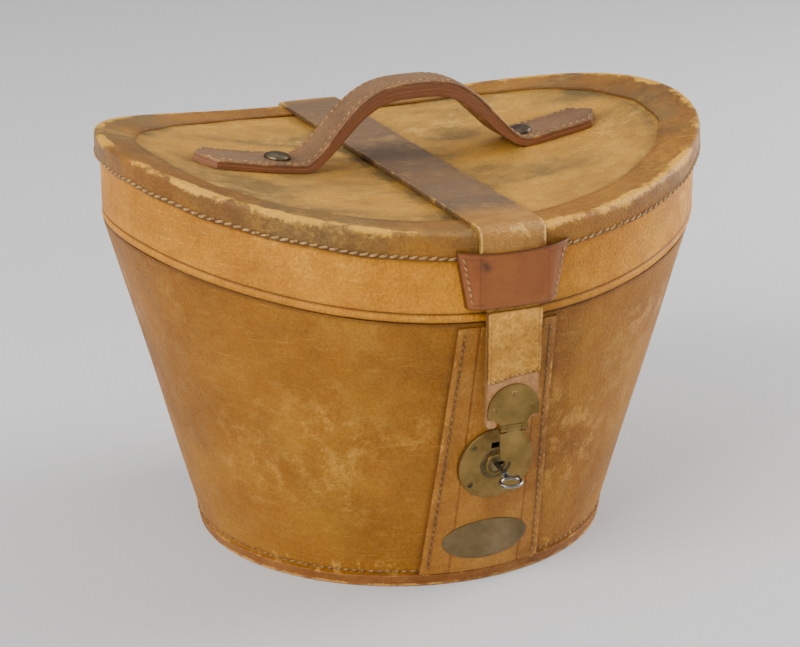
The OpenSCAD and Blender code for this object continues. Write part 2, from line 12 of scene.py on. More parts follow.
import bmesh
import bpy
import numpy as np
from mathutils import Matrix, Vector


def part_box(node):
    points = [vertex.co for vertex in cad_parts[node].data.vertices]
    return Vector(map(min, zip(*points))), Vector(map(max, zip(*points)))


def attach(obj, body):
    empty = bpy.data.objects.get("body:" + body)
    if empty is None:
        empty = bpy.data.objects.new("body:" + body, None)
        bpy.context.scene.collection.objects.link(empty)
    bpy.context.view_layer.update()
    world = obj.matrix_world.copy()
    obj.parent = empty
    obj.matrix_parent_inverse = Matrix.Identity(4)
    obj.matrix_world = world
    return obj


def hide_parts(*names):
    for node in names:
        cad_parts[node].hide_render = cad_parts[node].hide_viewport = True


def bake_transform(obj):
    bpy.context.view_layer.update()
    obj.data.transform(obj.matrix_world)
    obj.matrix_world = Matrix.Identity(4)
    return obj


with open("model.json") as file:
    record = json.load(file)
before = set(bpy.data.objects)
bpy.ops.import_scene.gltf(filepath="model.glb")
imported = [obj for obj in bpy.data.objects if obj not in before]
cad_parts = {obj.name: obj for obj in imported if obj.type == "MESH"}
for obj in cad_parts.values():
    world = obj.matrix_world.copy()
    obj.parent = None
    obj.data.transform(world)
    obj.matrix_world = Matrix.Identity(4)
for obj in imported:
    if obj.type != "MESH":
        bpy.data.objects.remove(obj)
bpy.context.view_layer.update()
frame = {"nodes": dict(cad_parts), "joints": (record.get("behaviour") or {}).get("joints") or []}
MM = 0.001
joints = {joint["name"]: joint for joint in frame["joints"]}

# %% [markdown]
# ## The box's own measures
#
# The main sizes aren't typed in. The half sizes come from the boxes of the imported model's
# nodes, and the height of the slit between lid and bucket from the lid's hinge. What a box
# can't tell, such as where a seam runs, is given in millimetres beside the piece it shapes.


# %% Read the sizes from the model
def corner_mm(node, which):
    """Lowest (0) or highest (1) corner of a CAD node, in millimetres."""
    return np.array(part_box(node)[which]) / MM


LEATHER_T = 1.8
BOTTOM_INSET = 4.22  # how far the bottom leather stands inside the foot's outline
HALF_SLIT = 0.15  # the lid's hinge is in the middle of the slit
SIDES = ((-1, "left"), (1, "right"))
rim_w, rim_d = corner_mm("lid_leather", 1)[:2]
foot_w, foot_d = corner_mm("bottom_leather", 1)[:2] + BOTTOM_INSET
slit_z = joints["lid_hinge"]["pos_m"][2] / MM - HALF_SLIT
end_rise = corner_mm("body_leather", 1)[2] - slit_z
lid_z = corner_mm("lid_top_leather", 0)[2] + LEATHER_T
# An outline is its half width, half depth, and q, which is how much flatter its corners are.
RIM = (rim_w, rim_d, -1.4)
FOOT = (foot_w, foot_d, 0.0)
SADDLE_R = (rim_w**2 + end_rise**2) / (2 * end_rise)
lean = math.atan2(rim_d - foot_d, slit_z)
print(f"rim {rim_w:.1f} x {rim_d:.1f}, foot {foot_w:.1f} x {foot_d:.1f}")
print(f"slit {slit_z:.1f}, lid {lid_z:.1f}")

# %% [markdown]
# ## The shapes that everything follows
#
# Four formulas make the whole box. The outline is given by how far its tangent stands from
# the middle, so moving it outwards by a leather's thickness is exact. The saddle is part of
# a cylinder. The flared wall joins the foot's outline to the rim's by straight lines. The
# hide on the wall isn't dead flat, so a small, slow swell is added to every layer of it.


# %% Outline, saddle and wall
def outline(size, out, t):
    """Point where the edge faces t radians from the front: (h + out) along the way it faces
    plus h' along the edge, with h = (a+b)/2 - q + (b-a)/2 cos 2t + q cos 4t."""
    a, b, q = size
    h = (a + b) / 2 - q + (b - a) / 2 * np.cos(2 * t) + q * np.cos(4 * t)
    slope = (a - b) * np.sin(2 * t) - 4 * q * np.sin(4 * t)
    return (h + out) * np.sin(t) + slope * np.cos(t), -(h + out) * np.cos(t) + slope * np.sin(t)


def saddle(x):
    """Height of the saddle over its lowest line: R - sqrt(R^2 - x^2)."""
    return SADDLE_R - np.sqrt(SADDLE_R**2 - np.minimum(np.abs(x), rim_w + 8) ** 2)


def swell(t, z):
    """Slow unevenness of the hide: a sum of three long waves, in mm."""
    return (
        0.30 * np.sin(3 * t + 0.7) * np.sin(z / 31 + 1)
        + 0.22 * np.sin(7 * t + z / 47)
        + 0.12 * np.sin(13 * t - z / 19 + 2)
        - 0.3
    )


def wall(t, z, out):
    """Flared wall: the foot's outline plus (the rim's minus the foot's) times z over the
    slit's height."""
    x1, y1 = outline(FOOT, out, t)
    x2, y2 = outline(RIM, out, t)
    f = z / (slit_z + saddle(outline(RIM, 0, t)[0]))
    return np.stack([x1 + (x2 - x1) * f, y1 + (y2 - y1) * f, z + 0 * x1], -1)


def facing(x, z=None, out=0.0):
    """The angle t whose point on the front has this x: t is moved by (x(t) - x) over x's slope,
    twelve times. With no z the point is on the rim."""
    x = np.asarray(x, float)
    t = x / rim_w
    for _ in range(12):
        if z is None:
            here, ahead = outline(RIM, out, t)[0], outline(RIM, out, t + 1e-4)[0]
        else:
            here, ahead = wall(t, z, out)[..., 0], wall(t + 1e-4, z, out)[..., 0]
        t = t - (here - x) / ((ahead - here) / 1e-4)
    return t


def on_wall(x, z, out, side=-1):
    """Point of the front (-1) or back (1) wall at x and z, out millimetres over the hide."""
    t = facing(x, z)
    p = wall(t, z, out + swell(t, z))
    p[..., 1] *= -side
    return p


def on_rim(x, z, out, side=-1):
    """Point of the lid's front or back side at x and z, out millimetres over its leather."""
    t = facing(x)
    px, py = outline(RIM, out, t)
    return np.stack([px, -side * py, z + 0 * px], -1)


# %% [markdown]
# ## From grids of points to finished pieces
#
# Every surface here is a grid of points. One function turns one or more grids into a mesh:
# it joins the points that coincide, turns all faces outwards, and shades smooth with the
# sharp creases kept. Numbers worked out with the points, such as how worn an edge is, go
# along as attributes, and the materials read them.


# %% Build one piece
def grid(points, wrap_rows=False, wrap_columns=False, **marks):
    """A grid of points of shape (rows, columns, 3), with marks of shape (rows, columns)."""
    points = np.asarray(points, float)
    rows, columns = points.shape[:2]
    index = np.arange(rows * columns).reshape(rows, columns)
    if wrap_rows:
        index = np.vstack([index, index[:1]])
    if wrap_columns:
        index = np.hstack([index, index[:, :1]])
    quads = np.stack([index[:-1, :-1], index[1:, :-1], index[1:, 1:], index[:-1, 1:]], -1)
    marks = {k: np.broadcast_to(v, (rows, columns)).ravel() for k, v in marks.items()}
    return points.reshape(-1, 3), quads.reshape(-1, 4), marks


MARKS = ("worn", "seam", "tone")
SAME_POINT = 2e-6  # points closer than this, in metres, are joined


def piece(name, grids, material, body, stands_for=(), sharp=50, hollow=None):
    """Makes the mesh of a piece from grids, in mm, hangs it on its body and hides the CAD nodes it stands
    for.
    """
    points = np.concatenate([g[0] for g in grids]) * MM
    starts = np.cumsum([0] + [len(g[0]) for g in grids[:-1]])
    quads = np.concatenate([g[1] + s for g, s in zip(grids, starts)])
    mesh = bpy.data.meshes.new(name)
    mesh.from_pydata(points, [], quads)
    for mark in MARKS:
        values = np.concatenate([g[2].get(mark, np.zeros(len(g[0]))) for g in grids])
        attribute = mesh.attributes.new(mark, "FLOAT", "POINT")
        attribute.data.foreach_set("value", values.astype(np.float32))
    bm = bmesh.new()
    bm.from_mesh(mesh)
    bmesh.ops.remove_doubles(bm, verts=bm.verts, dist=SAME_POINT)
    bmesh.ops.recalc_face_normals(bm, faces=bm.faces)
    bm.to_mesh(mesh)
    bm.free()
    mesh.polygons.foreach_set("use_smooth", np.ones(len(mesh.polygons), bool))
    mesh.set_sharp_from_angle(angle=math.radians(sharp))
    made = bpy.data.objects.new(name, mesh)
    bpy.context.scene.collection.objects.link(made)
    if hollow is not None:
        cut_hollow(made, hollow)
    return dress(made, material, body, stands_for)


def dress(made, material, body, stands_for=()):
    """Gives a piece its material and body, and hides the CAD nodes that it stands for."""
    made.data.materials.clear()
    made.data.materials.append(material)
    if body:
        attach(made, body)
    if stands_for:
        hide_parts(*stands_for)
    print(f"{made.name}: {len(made.data.polygons)} faces")
    return made


def cut_hollow(made, cutter_points):
    """Cuts a box, given by its eight corners in mm, out of a closed piece."""
    bm = bmesh.new()
    corners = [bm.verts.new(np.array(p) * MM) for p in cutter_points]
    bmesh.ops.convex_hull(bm, input=corners)
    mesh = bpy.data.meshes.new("cutter")
    bm.to_mesh(mesh)
    bm.free()
    cutter = bpy.data.objects.new("cutter", mesh)
    bpy.context.scene.collection.objects.link(cutter)
    change = made.modifiers.new("hollow", "BOOLEAN")
    change.operation = "DIFFERENCE"
    change.solver = "EXACT"
    change.object = cutter
    graph = bpy.context.evaluated_depsgraph_get()
    cut = bpy.data.meshes.new_from_object(made.evaluated_get(graph))
    made.modifiers.clear()
    old = made.data
    made.data = cut
    bpy.data.meshes.remove(old)
    bpy.data.objects.remove(cutter)
    bpy.data.meshes.remove(mesh)


# %% [markdown]
# ## Colours and one way to add a node
#
# Colours are written as sRGB hex and turned to linear light by one function. One function
# adds a node, sets it up, and links or fills its sockets; every material below uses it.


# %% Helpers for materials
def linear(hex_colour, alpha=1.0):
    """sRGB hex to linear: c/12.92 below 0.04045, else ((c + 0.055)/1.055)^2.4."""
    values = [int(hex_colour[i : i + 2], 16) / 255 for i in (1, 3, 5)]
    light = [v / 12.92 if v <= 0.04045 else ((v + 0.055) / 1.055) ** 2.4 for v in values]
    return (*light, alpha)


def add(tree, kind, inputs=None, stops=None, **settings):
    """Adds a node with settings, fills or links its inputs, and sets a colour ramp's stops."""
    made = tree.nodes.new("ShaderNode" + kind)
    for key, value in settings.items():
        setattr(made, key, value)
    for key, value in (inputs or {}).items():
        if isinstance(value, bpy.types.NodeSocket):
            tree.links.new(value, made.inputs[key])
        else:
            made.inputs[key].default_value = value
    for i, (position, colour) in enumerate(stops or []):
        elements = made.color_ramp.elements
        element = elements[i] if i < 2 else elements.new(position)
        element.position = position
        element.color = linear(colour) if isinstance(colour, str) else (colour, colour, colour, 1)
    return made


def new_material(name):
    """An empty node material with its output node."""
    material = bpy.data.materials.new(name)
    material.use_nodes = True
    material.node_tree.nodes.clear()
    return material, material.node_tree, add(material.node_tree, "OutputMaterial")


# %% [markdown]
# ## Leather
#
# Vegetable-tanned cowhide is dyed by hand, handled for a century, and never one colour. The
# colour is built from slow mottling, 20 to 60 mm across, blotches a fifth of that size, and a
# thin drag of scratches. Where an edge is rubbed the dye is gone and the pale hide shows, and
# in seams, creases, along raised edges and under the lid painted shade makes it dark. The real
# pebbles are about 0.8 mm apart; they are drawn 1.3 mm apart so that they show. Noise reads
# metres, so its scale is 1000 over its size in mm.


# %% Make a leather
def leather(name, dark, mid, light, bare, dirt_and_shade, grain=1.3, mottle=45.0, rough=0.5, scratch=0.35,
            grey="#8C7560", patina=0.0, streak=(1.0, 1.0, 1.0), bump=0.55, gloss=0.26, blot=0.22,
            speck=0.24, stain=0.3, scuff=0.32):
    """Dyed, handled hide. bare is the colour of rubbed edges, dirt_and_shade that of stains and of
    the painted shade in seams, creases and along edges, and grey that of the grime; scratch,
    patina, blot, stain, scuff and speck say how much shows."""
    material, tree, out = new_material(name)
    place = add(tree, "TexCoord").outputs["Object"]
    stretched = add(tree, "Mapping", {"Vector": place, "Scale": streak}).outputs["Vector"]
    slow = add(tree, "TexNoise", {"Vector": stretched, "Scale": 1000 / mottle, "Detail": 5.0,
                                  "Roughness": 0.6})
    body = add(tree, "ValToRGB", {"Fac": slow.outputs["Fac"]},
               stops=[(0.30, dark), (0.72, light), (0.5, mid)]).outputs["Color"]
    blotch = add(tree, "TexNoise", {"Vector": stretched, "Scale": 1000 / (mottle / 5), "Detail": 6.0,
                                    "Roughness": 0.68, "Distortion": 0.4})
    blotch_ramp = add(tree, "ValToRGB", {"Fac": blotch.outputs["Fac"]},
                      stops=[(0.42, 0.0), (0.68, 1.0)])
    amount = add(tree, "Math", {0: blotch_ramp.outputs["Color"], 1: blot},
                 operation="MULTIPLY").outputs[0]
    body = add(tree, "Mix", {0: amount, 6: body, 7: linear(light)}, data_type="RGBA").outputs[2]
    # Patina: grey-brown grime that lies in soft drifts where the hide faces up.
    drift = add(tree, "TexNoise", {"Vector": stretched, "Scale": 1000 / 60, "Detail": 7.0,
                                   "Roughness": 0.62})
    drift_ramp = add(tree, "ValToRGB", {"Fac": drift.outputs["Fac"]},
                     stops=[(0.45, 0.0), (0.62, 1.0)])
    tone = add(tree, "Attribute", attribute_name="tone").outputs["Fac"]
    grime_and_shade = add(tree, "Math", {0: drift_ramp.outputs["Color"], 1: patina, 2: tone},
                operation="MULTIPLY_ADD").outputs[0]
    grime_and_shade = add(tree, "Clamp", {0: grime_and_shade}).outputs[0]
    body = add(tree, "Mix", {0: grime_and_shade, 6: body, 7: linear(grey)}, data_type="RGBA").outputs[2]
    # Old stains about 90 mm across with ragged rims, and scuffs that come in clusters.
    soak = add(tree, "TexNoise", {"Vector": place, "Scale": 1000 / 90, "Detail": 9.0,
                                  "Roughness": 0.66, "Distortion": 0.5})
    soak = add(tree, "MapRange", {0: soak.outputs["Fac"], 1: 0.46, 2: 0.64, 3: 0.0,
                                  4: stain}).outputs[0]
    body = add(tree, "Mix", {0: soak, 6: body, 7: linear(dirt_and_shade)}, data_type="RGBA").outputs[2]
    where = add(tree, "TexNoise", {"Vector": stretched, "Scale": 1000 / 80, "Detail": 3.0,
                                   "W": 4.0}, noise_dimensions="4D")
    where = add(tree, "MapRange", {0: where.outputs["Fac"], 1: 0.48, 2: 0.62, 3: 0.0,
                                   4: scuff}).outputs[0]
    flake = add(tree, "TexNoise", {"Vector": place, "Scale": 1000 / 11, "Detail": 10.0,
                                   "Roughness": 0.8, "Distortion": 0.25})
    flake = add(tree, "MapRange", {0: flake.outputs["Fac"], 1: 0.50, 2: 0.60, 3: 0.0,
                                   4: 1.0}).outputs[0]
    flake = add(tree, "Math", {0: flake, 1: where}, operation="MULTIPLY").outputs[0]
    body = add(tree, "Mix", {0: flake, 6: body, 7: linear(bare)}, data_type="RGBA").outputs[2]
    # Scratches: long thin cells of a very stretched noise, stronger in the blotches.
    turned = add(tree, "Mapping", {"Vector": place, "Rotation": (0.35, 0.2, 0.6),
                                   "Scale": (45, 60, 1000)})
    hair = add(tree, "TexNoise", {"Vector": turned.outputs["Vector"], "Scale": 1.0, "Detail": 3.0,
                                  "Roughness": 0.7})
    hair_ramp = add(tree, "ValToRGB", {"Fac": hair.outputs["Fac"]},
                    stops=[(0.60, 0.0), (0.72, 1.0)])
    some = add(tree, "Math", {0: hair_ramp.outputs["Color"], 1: blotch.outputs["Fac"]},
               operation="MULTIPLY").outputs[0]
    some = add(tree, "Math", {0: some, 1: scratch}, operation="MULTIPLY").outputs[0]
    body = add(tree, "Mix", {0: some, 6: body, 7: linear(bare)}, data_type="RGBA").outputs[2]
    # Rubbed edges: the mark of the piece, broken up by a crumbly noise 9 mm across.
    worn = add(tree, "Attribute", attribute_name="worn").outputs["Fac"]
    crumb = add(tree, "TexNoise", {"Vector": place, "Scale": 1000 / 9, "Detail": 8.0,
                                   "Roughness": 0.75})
    rub = add(tree, "MapRange", {0: crumb.outputs["Fac"], 1: 0.35, 2: 0.65, 3: -1.25, 4: -0.2})
    rub = add(tree, "Math", {0: worn, 1: 1.45, 2: rub.outputs[0]},
              operation="MULTIPLY_ADD").outputs[0]
    rub = add(tree, "MapRange", {0: rub, 1: 0.0, 2: 0.35, 3: 0.0, 4: 0.85}).outputs[0]
    body = add(tree, "Mix", {0: rub, 6: body, 7: linear(bare)}, data_type="RGBA").outputs[2]
    # Pores: each speck of the fine grain is a little paler or darker than the next.
    fine = add(tree, "TexNoise", {"Vector": place, "Scale": 1000 / 1.6, "Detail": 4.0,
                                  "Roughness": 0.7})
    pore = add(tree, "MapRange", {0: fine.outputs["Fac"], 1: 0.3, 2: 0.7, 3: 1.0 - speck,
                                  4: 1.0 + speck}).outputs[0]
    body = add(tree, "Mix", {0: 1.0, 6: body, 7: pore}, data_type="RGBA",
               blend_type="MULTIPLY").outputs[2]
    # The seam mark is mostly painted shade, in stitch rows, creases, along raised edges and under the lid's
    # edge; it mixes the hide towards the dark colour.
    seam = add(tree, "Attribute", attribute_name="seam").outputs["Fac"]
    body = add(tree, "Mix", {0: seam, 6: body, 7: linear(dirt_and_shade)}, data_type="RGBA").outputs[2]
    # Grain: pebbles of a cell pattern with fine noise, under slow dents.
    pebble = add(tree, "TexVoronoi", {"Vector": place, "Scale": 1000 / grain, "Randomness": 1.0})
    height = add(tree, "Math", {0: fine.outputs["Fac"], 1: 1.6, 2: pebble.outputs["Distance"]},
                 operation="MULTIPLY_ADD").outputs[0]
    height = add(tree, "Math", {0: blotch.outputs["Fac"], 1: 2.5, 2: height},
                 operation="MULTIPLY_ADD").outputs[0]
    height = add(tree, "Math", {0: some, 1: -1.2, 2: height}, operation="MULTIPLY_ADD").outputs[0]
    relief = add(tree, "Bump", {"Height": height, "Strength": bump, "Distance": 0.0005})
    shine = add(tree, "MapRange", {0: blotch.outputs["Fac"], 1: 0.3, 2: 0.7, 3: rough + 0.1,
                                   4: rough - 0.08})
    shader = add(tree, "BsdfPrincipled", {
        "Base Color": body, "Roughness": shine.outputs[0], "Normal": relief.outputs["Normal"],
        "IOR": 1.45, "Specular IOR Level": gloss,
    })
    tree.links.new(shader.outputs[0], out.inputs["Surface"])
    return material


hide_tan = leather(
    "tan_cowhide", "#8A560F", "#9C6314", "#AB751B", "#D69D3D", "#4E2A0E",
    scratch=0.7, mottle=55, scuff=0.5, stain=0.36)
hide_lid = leather(
    "tan_cowhide_lid_side", "#BB7416", "#CE851B", "#E39D29", "#F6B944", "#4A2A10",
    patina=0.1, grey="#9A6C34", scratch=0.9, scuff=0.6, stain=0.34)
hide_panel = leather(
    "tan_cowhide_top_panel", "#A67428", "#BA8530", "#C9953C", "#DDAF52", "#4A3018",
    patina=0.85, grey="#6A5430", mottle=60, streak=(0.85, 1.25, 1.0), rough=0.46, blot=0.3,
    stain=0.35, scuff=0.5)
hide_binding = leather(
    "brown_calf_binding", "#7A480B", "#915B11", "#A56E19", "#DBA130", "#40240E",
    patina=0.65, grey="#6A5734", mottle=26, rough=0.42, gloss=0.36, blot=0.3, stain=0.45)
hide_foot = leather(
    "red_brown_binding", "#774519", "#8C5724", "#9F6830", "#CC9446", "#3A1D0C",
    mottle=25, rough=0.5)
hide_stay = leather(
    "tan_cowhide_stay", "#925E1D", "#A86D24", "#B88033", "#DDA34B", "#50280E", mottle=34)
hide_strap = leather(
    "grey_brown_strap", "#8A5B23", "#A3702D", "#B78238", "#E0B152", "#3C2412",
    patina=0.15, grey="#66523F", mottle=22, rough=0.38, gloss=0.38, streak=(0.5, 2.4, 1.0),
    blot=0.3, stain=0.3, scuff=0.2)
hide_keeper = leather(
    "polished_russet_keeper", "#7A3E10", "#8A4B16", "#98571E", "#BA8146", "#38200F",
    mottle=26, rough=0.36, scratch=0.12, gloss=0.5, bump=0.10, blot=0.15, speck=0.08, stain=0.3,
    scuff=0.05)
hide_suede = leather(
    "flesh_side_suede", "#C38539", "#E0A045", "#F6B559", "#F6C167", "#5A3818",
    mottle=9, grain=1.3, rough=0.85, bump=0.9, gloss=0.15, speck=0.3)
hide_backing = leather(
    "pink_brown_backing", "#B07C48", "#C48C58", "#D09C6A", "#DCB07E", "#5A3A20",
    mottle=16, rough=0.6, bump=0.2)
hide_handle = leather(
    "grey_brown_handle", "#68462B", "#7B5432", "#8B633B", "#B07F49", "#3C2414",
    patina=0.25, grey="#84694F", mottle=24, rough=0.4, gloss=0.36, stain=0.35, scuff=0.1)
hide_collar = leather(
    "pale_skiver_collar", "#B79A6C", "#C8AC7E", "#D6BE92", "#DCC9A2", "#6E5636",
    mottle=35, rough=0.6)
print("materials so far:", len(bpy.data.materials))

# %% [markdown]
# ## The burnished edge, thread, cloth, board and metals
#
# The handle's edge is a stack of leathers cut through, waxed and rubbed until it shines, so
# its colour runs in fine bands along it. Linen thread is a twist of waxed strands. The lining
# is glazed cotton, plain woven. The board is pasteboard. The metals are old: brass dulled to
# olive, bronzed iron studs, and a key rubbed bright.


# %% Other materials
def layered_edge(name):
    """Cut edge of stacked leather: bands about 0.5 mm thick that follow the piece's tone mark."""
    material, tree, out = new_material(name)
    place = add(tree, "TexCoord").outputs["Object"]
    depth = add(tree, "Attribute", attribute_name="tone").outputs["Fac"]
    drag = add(tree, "TexNoise", {"Vector": place, "Scale": 60.0, "Detail": 5.0})
    wave = add(tree, "Math", {0: drag.outputs["Fac"], 1: 1.5, 2: depth},
               operation="MULTIPLY_ADD").outputs[0]
    bands = add(tree, "TexNoise", {"W": wave, "Scale": 2.4, "Detail": 4.0, "Roughness": 0.75},
                noise_dimensions="1D")
    colour = add(tree, "ValToRGB", {"Fac": bands.outputs["Fac"]},
                 stops=[(0.34, "#42220F"), (0.72, "#C08C58"), (0.48, "#784624"),
                        (0.60, "#965E36")]).outputs["Color"]
    worn = add(tree, "Attribute", attribute_name="worn").outputs["Fac"]
    colour = add(tree, "Mix", {0: worn, 6: colour, 7: linear("#5A3424")}, data_type="RGBA").outputs[2]
    relief = add(tree, "Bump", {"Height": bands.outputs["Fac"], "Strength": 0.6, "Distance": 0.0006})
    shader = add(tree, "BsdfPrincipled", {"Base Color": colour, "Roughness": 0.42, "IOR": 1.45,
                                          "Normal": relief.outputs["Normal"]})
    tree.links.new(shader.outputs[0], out.inputs["Surface"])
    return material


def thread(name, pale, dark):
    """Waxed linen thread: a twist 1.1 mm long, pale on its crown, with painted shade darkening its ends
    where they sink into the awl holes.
    """
    material, tree, out = new_material(name)
    place = add(tree, "TexCoord").outputs["Object"]
    ply = add(tree, "TexNoise", {"Vector": place, "Scale": 1000 / 1.1, "Detail": 3.0})
    seam = add(tree, "Attribute", attribute_name="seam").outputs["Fac"]
    colour = add(tree, "ValToRGB", {"Fac": ply.outputs["Fac"]},
                 stops=[(0.32, dark), (0.62, pale)]).outputs["Color"]
    colour = add(tree, "Mix", {0: seam, 6: colour, 7: linear(dark)}, data_type="RGBA").outputs[2]
    relief = add(tree, "Bump", {"Height": ply.outputs["Fac"], "Strength": 0.5, "Distance": 0.0003})
    shader = add(tree, "BsdfPrincipled", {"Base Color": colour, "Roughness": 0.65,
                                          "Normal": relief.outputs["Normal"]})
    tree.links.new(shader.outputs[0], out.inputs["Surface"])
    return material


def cloth(name, pale, dark, thread_mm=0.9):
    """Glazed plain-weave cotton. Its threads are 0.4 mm apart, and are drawn 0.9 mm apart so
    that they show: a wave repeats every 2 pi over its scale."""
    material, tree, out = new_material(name)
    place = add(tree, "TexCoord").outputs["Object"]
    warp = add(tree, "TexWave", {"Vector": place, "Scale": 1000 / thread_mm / 6.28,
                                  "Distortion": 0.6},
               bands_direction="Z")
    weft = add(tree, "TexWave", {"Vector": place, "Scale": 1000 / thread_mm / 6.28,
                                  "Distortion": 0.6},
               bands_direction="DIAGONAL")
    weave = add(tree, "Math", {0: warp.outputs["Fac"], 1: weft.outputs["Fac"]},
                operation="MAXIMUM").outputs[0]
    stain = add(tree, "TexNoise", {"Vector": place, "Scale": 18.0, "Detail": 6.0})
    colour = add(tree, "ValToRGB", {"Fac": stain.outputs["Fac"]},
                 stops=[(0.35, dark), (0.65, pale)]).outputs["Color"]
    shade = add(tree, "MapRange", {0: weave, 1: 0.0, 2: 1.0, 3: 0.82, 4: 1.0}).outputs[0]
    colour = add(tree, "Mix", {0: 1.0, 6: colour, 7: shade}, data_type="RGBA",
                 blend_type="MULTIPLY").outputs[2]
    relief = add(tree, "Bump", {"Height": weave, "Strength": 0.35, "Distance": 0.0003})
    shader = add(tree, "BsdfPrincipled", {"Base Color": colour, "Roughness": 0.75, "Sheen Weight": 0.15,
                                          "Normal": relief.outputs["Normal"]})
    tree.links.new(shader.outputs[0], out.inputs["Surface"])
    return material


def pasteboard(name):
    """Grey-brown pasteboard with fibres about 2 mm long."""
    material, tree, out = new_material(name)
    place = add(tree, "TexCoord").outputs["Object"]
    fibre = add(tree, "TexNoise", {"Vector": place, "Scale": 500.0, "Detail": 6.0, "Roughness": 0.8})
    colour = add(tree, "ValToRGB", {"Fac": fibre.outputs["Fac"]},
                 stops=[(0.35, "#7E6A4C"), (0.65, "#A9946F")])
    relief = add(tree, "Bump", {"Height": fibre.outputs["Fac"], "Strength": 0.3, "Distance": 0.0003})
    shader = add(tree, "BsdfPrincipled", {"Base Color": colour.outputs["Color"], "Roughness": 0.9,
                                          "Normal": relief.outputs["Normal"]})
    tree.links.new(shader.outputs[0], out.inputs["Surface"])
    return material


def old_metal(name, bright, dull, dark, rough=0.35, metal=0.9, scratch=0.4, size=9.0):
    """Tarnished metal: cloudy oxide, size millimetres across, and fine handling scratches."""
    material, tree, out = new_material(name)
    place = add(tree, "TexCoord").outputs["Object"]
    cloud = add(tree, "TexNoise", {"Vector": place, "Scale": 1000 / size, "Detail": 6.0,
                                   "Roughness": 0.65})
    colour = add(tree, "ValToRGB", {"Fac": cloud.outputs["Fac"]},
                 stops=[(0.32, dark), (0.70, bright), (0.5, dull)]).outputs["Color"]
    turned = add(tree, "Mapping", {"Vector": place, "Rotation": (0.3, 0.9, 0.4),
                                   "Scale": (300, 2600, 2600)})
    hair = add(tree, "TexNoise", {"Vector": turned.outputs["Vector"], "Scale": 1.0, "Detail": 2.0})
    line = add(tree, "MapRange", {0: hair.outputs["Fac"], 1: 0.6, 2: 0.72, 3: 0.0,
                                  4: scratch}).outputs[0]
    colour = add(tree, "Mix", {0: line, 6: colour, 7: linear(bright)}, data_type="RGBA").outputs[2]
    shine = add(tree, "MapRange", {0: cloud.outputs["Fac"], 1: 0.3, 2: 0.7, 3: rough + 0.15,
                                   4: rough - 0.05})
    relief = add(tree, "Bump", {"Height": line, "Strength": 0.12, "Distance": 0.0002})
    shader = add(tree, "BsdfPrincipled", {"Base Color": colour, "Metallic": metal,
                                          "Roughness": shine.outputs[0],
                                          "Normal": relief.outputs["Normal"]})
    tree.links.new(shader.outputs[0], out.inputs["Surface"])
    return material


edge_stack = layered_edge("burnished_leather_edge")
thread_pale = thread("waxed_linen_thread", "#C39A58", "#6A4420")
thread_dark = thread("dark_waxed_thread", "#A87A40", "#4A2A12")
cotton = cloth("glazed_cotton_lining", "#CFC19C", "#B5A57E")
board = pasteboard("pasteboard")
brass = old_metal("dull_cast_brass", "#967945", "#7E6535", "#644F27", size=22)
oval_brass = old_metal("brown_rolled_brass", "#887554", "#726041", "#5E4E32", rough=0.3, size=26,
                       scratch=0.2)
brass_dark = old_metal("tarnished_brass_pins", "#8A7850", "#5E5032", "#3A3020", rough=0.4)
iron = old_metal("dull_lock_iron", "#8A847A", "#5E5A52", "#37342F", rough=0.45)
bronzed = old_metal("bronzed_stud_iron", "#7E6E58", "#5A4C3A", "#3C3226", rough=0.36, size=8)
steel = old_metal("handled_key_steel", "#A8A49B", "#86827A", "#5A564F", rough=0.24, metal=1.0,
                  size=4)
print("materials:", len(bpy.data.materials))

# %% [markdown]
# ## Rings: the hides, bindings and linings that go right round
#
# Each of these is one cross-section carried round the outline. A section is a short list of
# corners; rounding them and walking the curve gives the points. The section is closed, so
# the piece is a closed ring whose leather has its true thickness and softened edges.


# %% Sections and rings
def rounded(corners, radii, step=0.4, arc=5):
    """Closed path through corners. Each corner c is rounded from a point a to a point b by
    (1-s)^2 a + 2s(1-s) c + s^2 b, and straight runs are split about every step."""
    corners = np.asarray(corners, float)
    path = []
    for i, r in enumerate(radii):
        c, a, b = corners[i], corners[i - 1], corners[(i + 1) % len(corners)]
        ua, ub = (a - c) / np.linalg.norm(a - c), (b - c) / np.linalg.norm(b - c)
        half = math.acos(np.clip(ua @ ub, -1, 1)) / 2
        longest = 0.49 * min(np.linalg.norm(a - c), np.linalg.norm(b - c))
        reach = min(r / math.tan(half), longest)
        s = np.linspace(0, 1, arc)[:, None]
        path.append((1 - s) ** 2 * (c + ua * reach) + 2 * s * (1 - s) * c + s**2 * (c + ub * reach))
    full = []
    for i, bend in enumerate(path):
        full.append(bend)
        start, end = bend[-1], path[(i + 1) % len(path)][0]
        count = max(int(np.linalg.norm(end - start) / step), 1)
        full.append(start + (end - start) * np.linspace(0, 1, count + 1)[1:-1, None])
    return np.concatenate([f for f in full if len(f)])


def near(value, centre, width):
    """A soft bump of 1 at the centre: exp(-((v - c)/w)^2)."""
    return np.exp(-(((value - centre) / width) ** 2))


def angles(count):
    """Evenly spaced angles round the box, as a column."""
    return np.arange(count)[:, None] * 2 * np.pi / count


# %% [markdown]
# ### The bucket's hide
#
# One long piece of cowhide is wrapped round a pasteboard shell and glued. It is 1.8 mm
# thick. A section is drawn in two numbers, how far out and how high, and the height runs
# from 0 at the foot to 1 at the slit, so that the top edge follows the saddle.


# %% Bucket hide, its lining and the boards
def wall_section(section, t):
    """Carries a section of (out, share of height) round the flared wall."""
    out, share = section[:, 0][None], section[:, 1][None]
    top = slit_z + saddle(outline(RIM, out, t)[0])
    z = share * top
    return wall(t, z, out + swell(t, z)), z + 0 * t


def front_block(half_x, low, high, deep, proud):
    """Corners of a box square to the front wall at the lock: across, up the slope, and outwards."""
    n = np.array([0, -math.cos(lean), -math.sin(lean)])
    u = np.array([0, -math.sin(lean), math.cos(lean)])
    return [lock_middle + np.array([x, 0, 0]) + u * b + n * c
            for x in (-half_x, half_x) for b in (low, high) for c in (-deep, proud)]


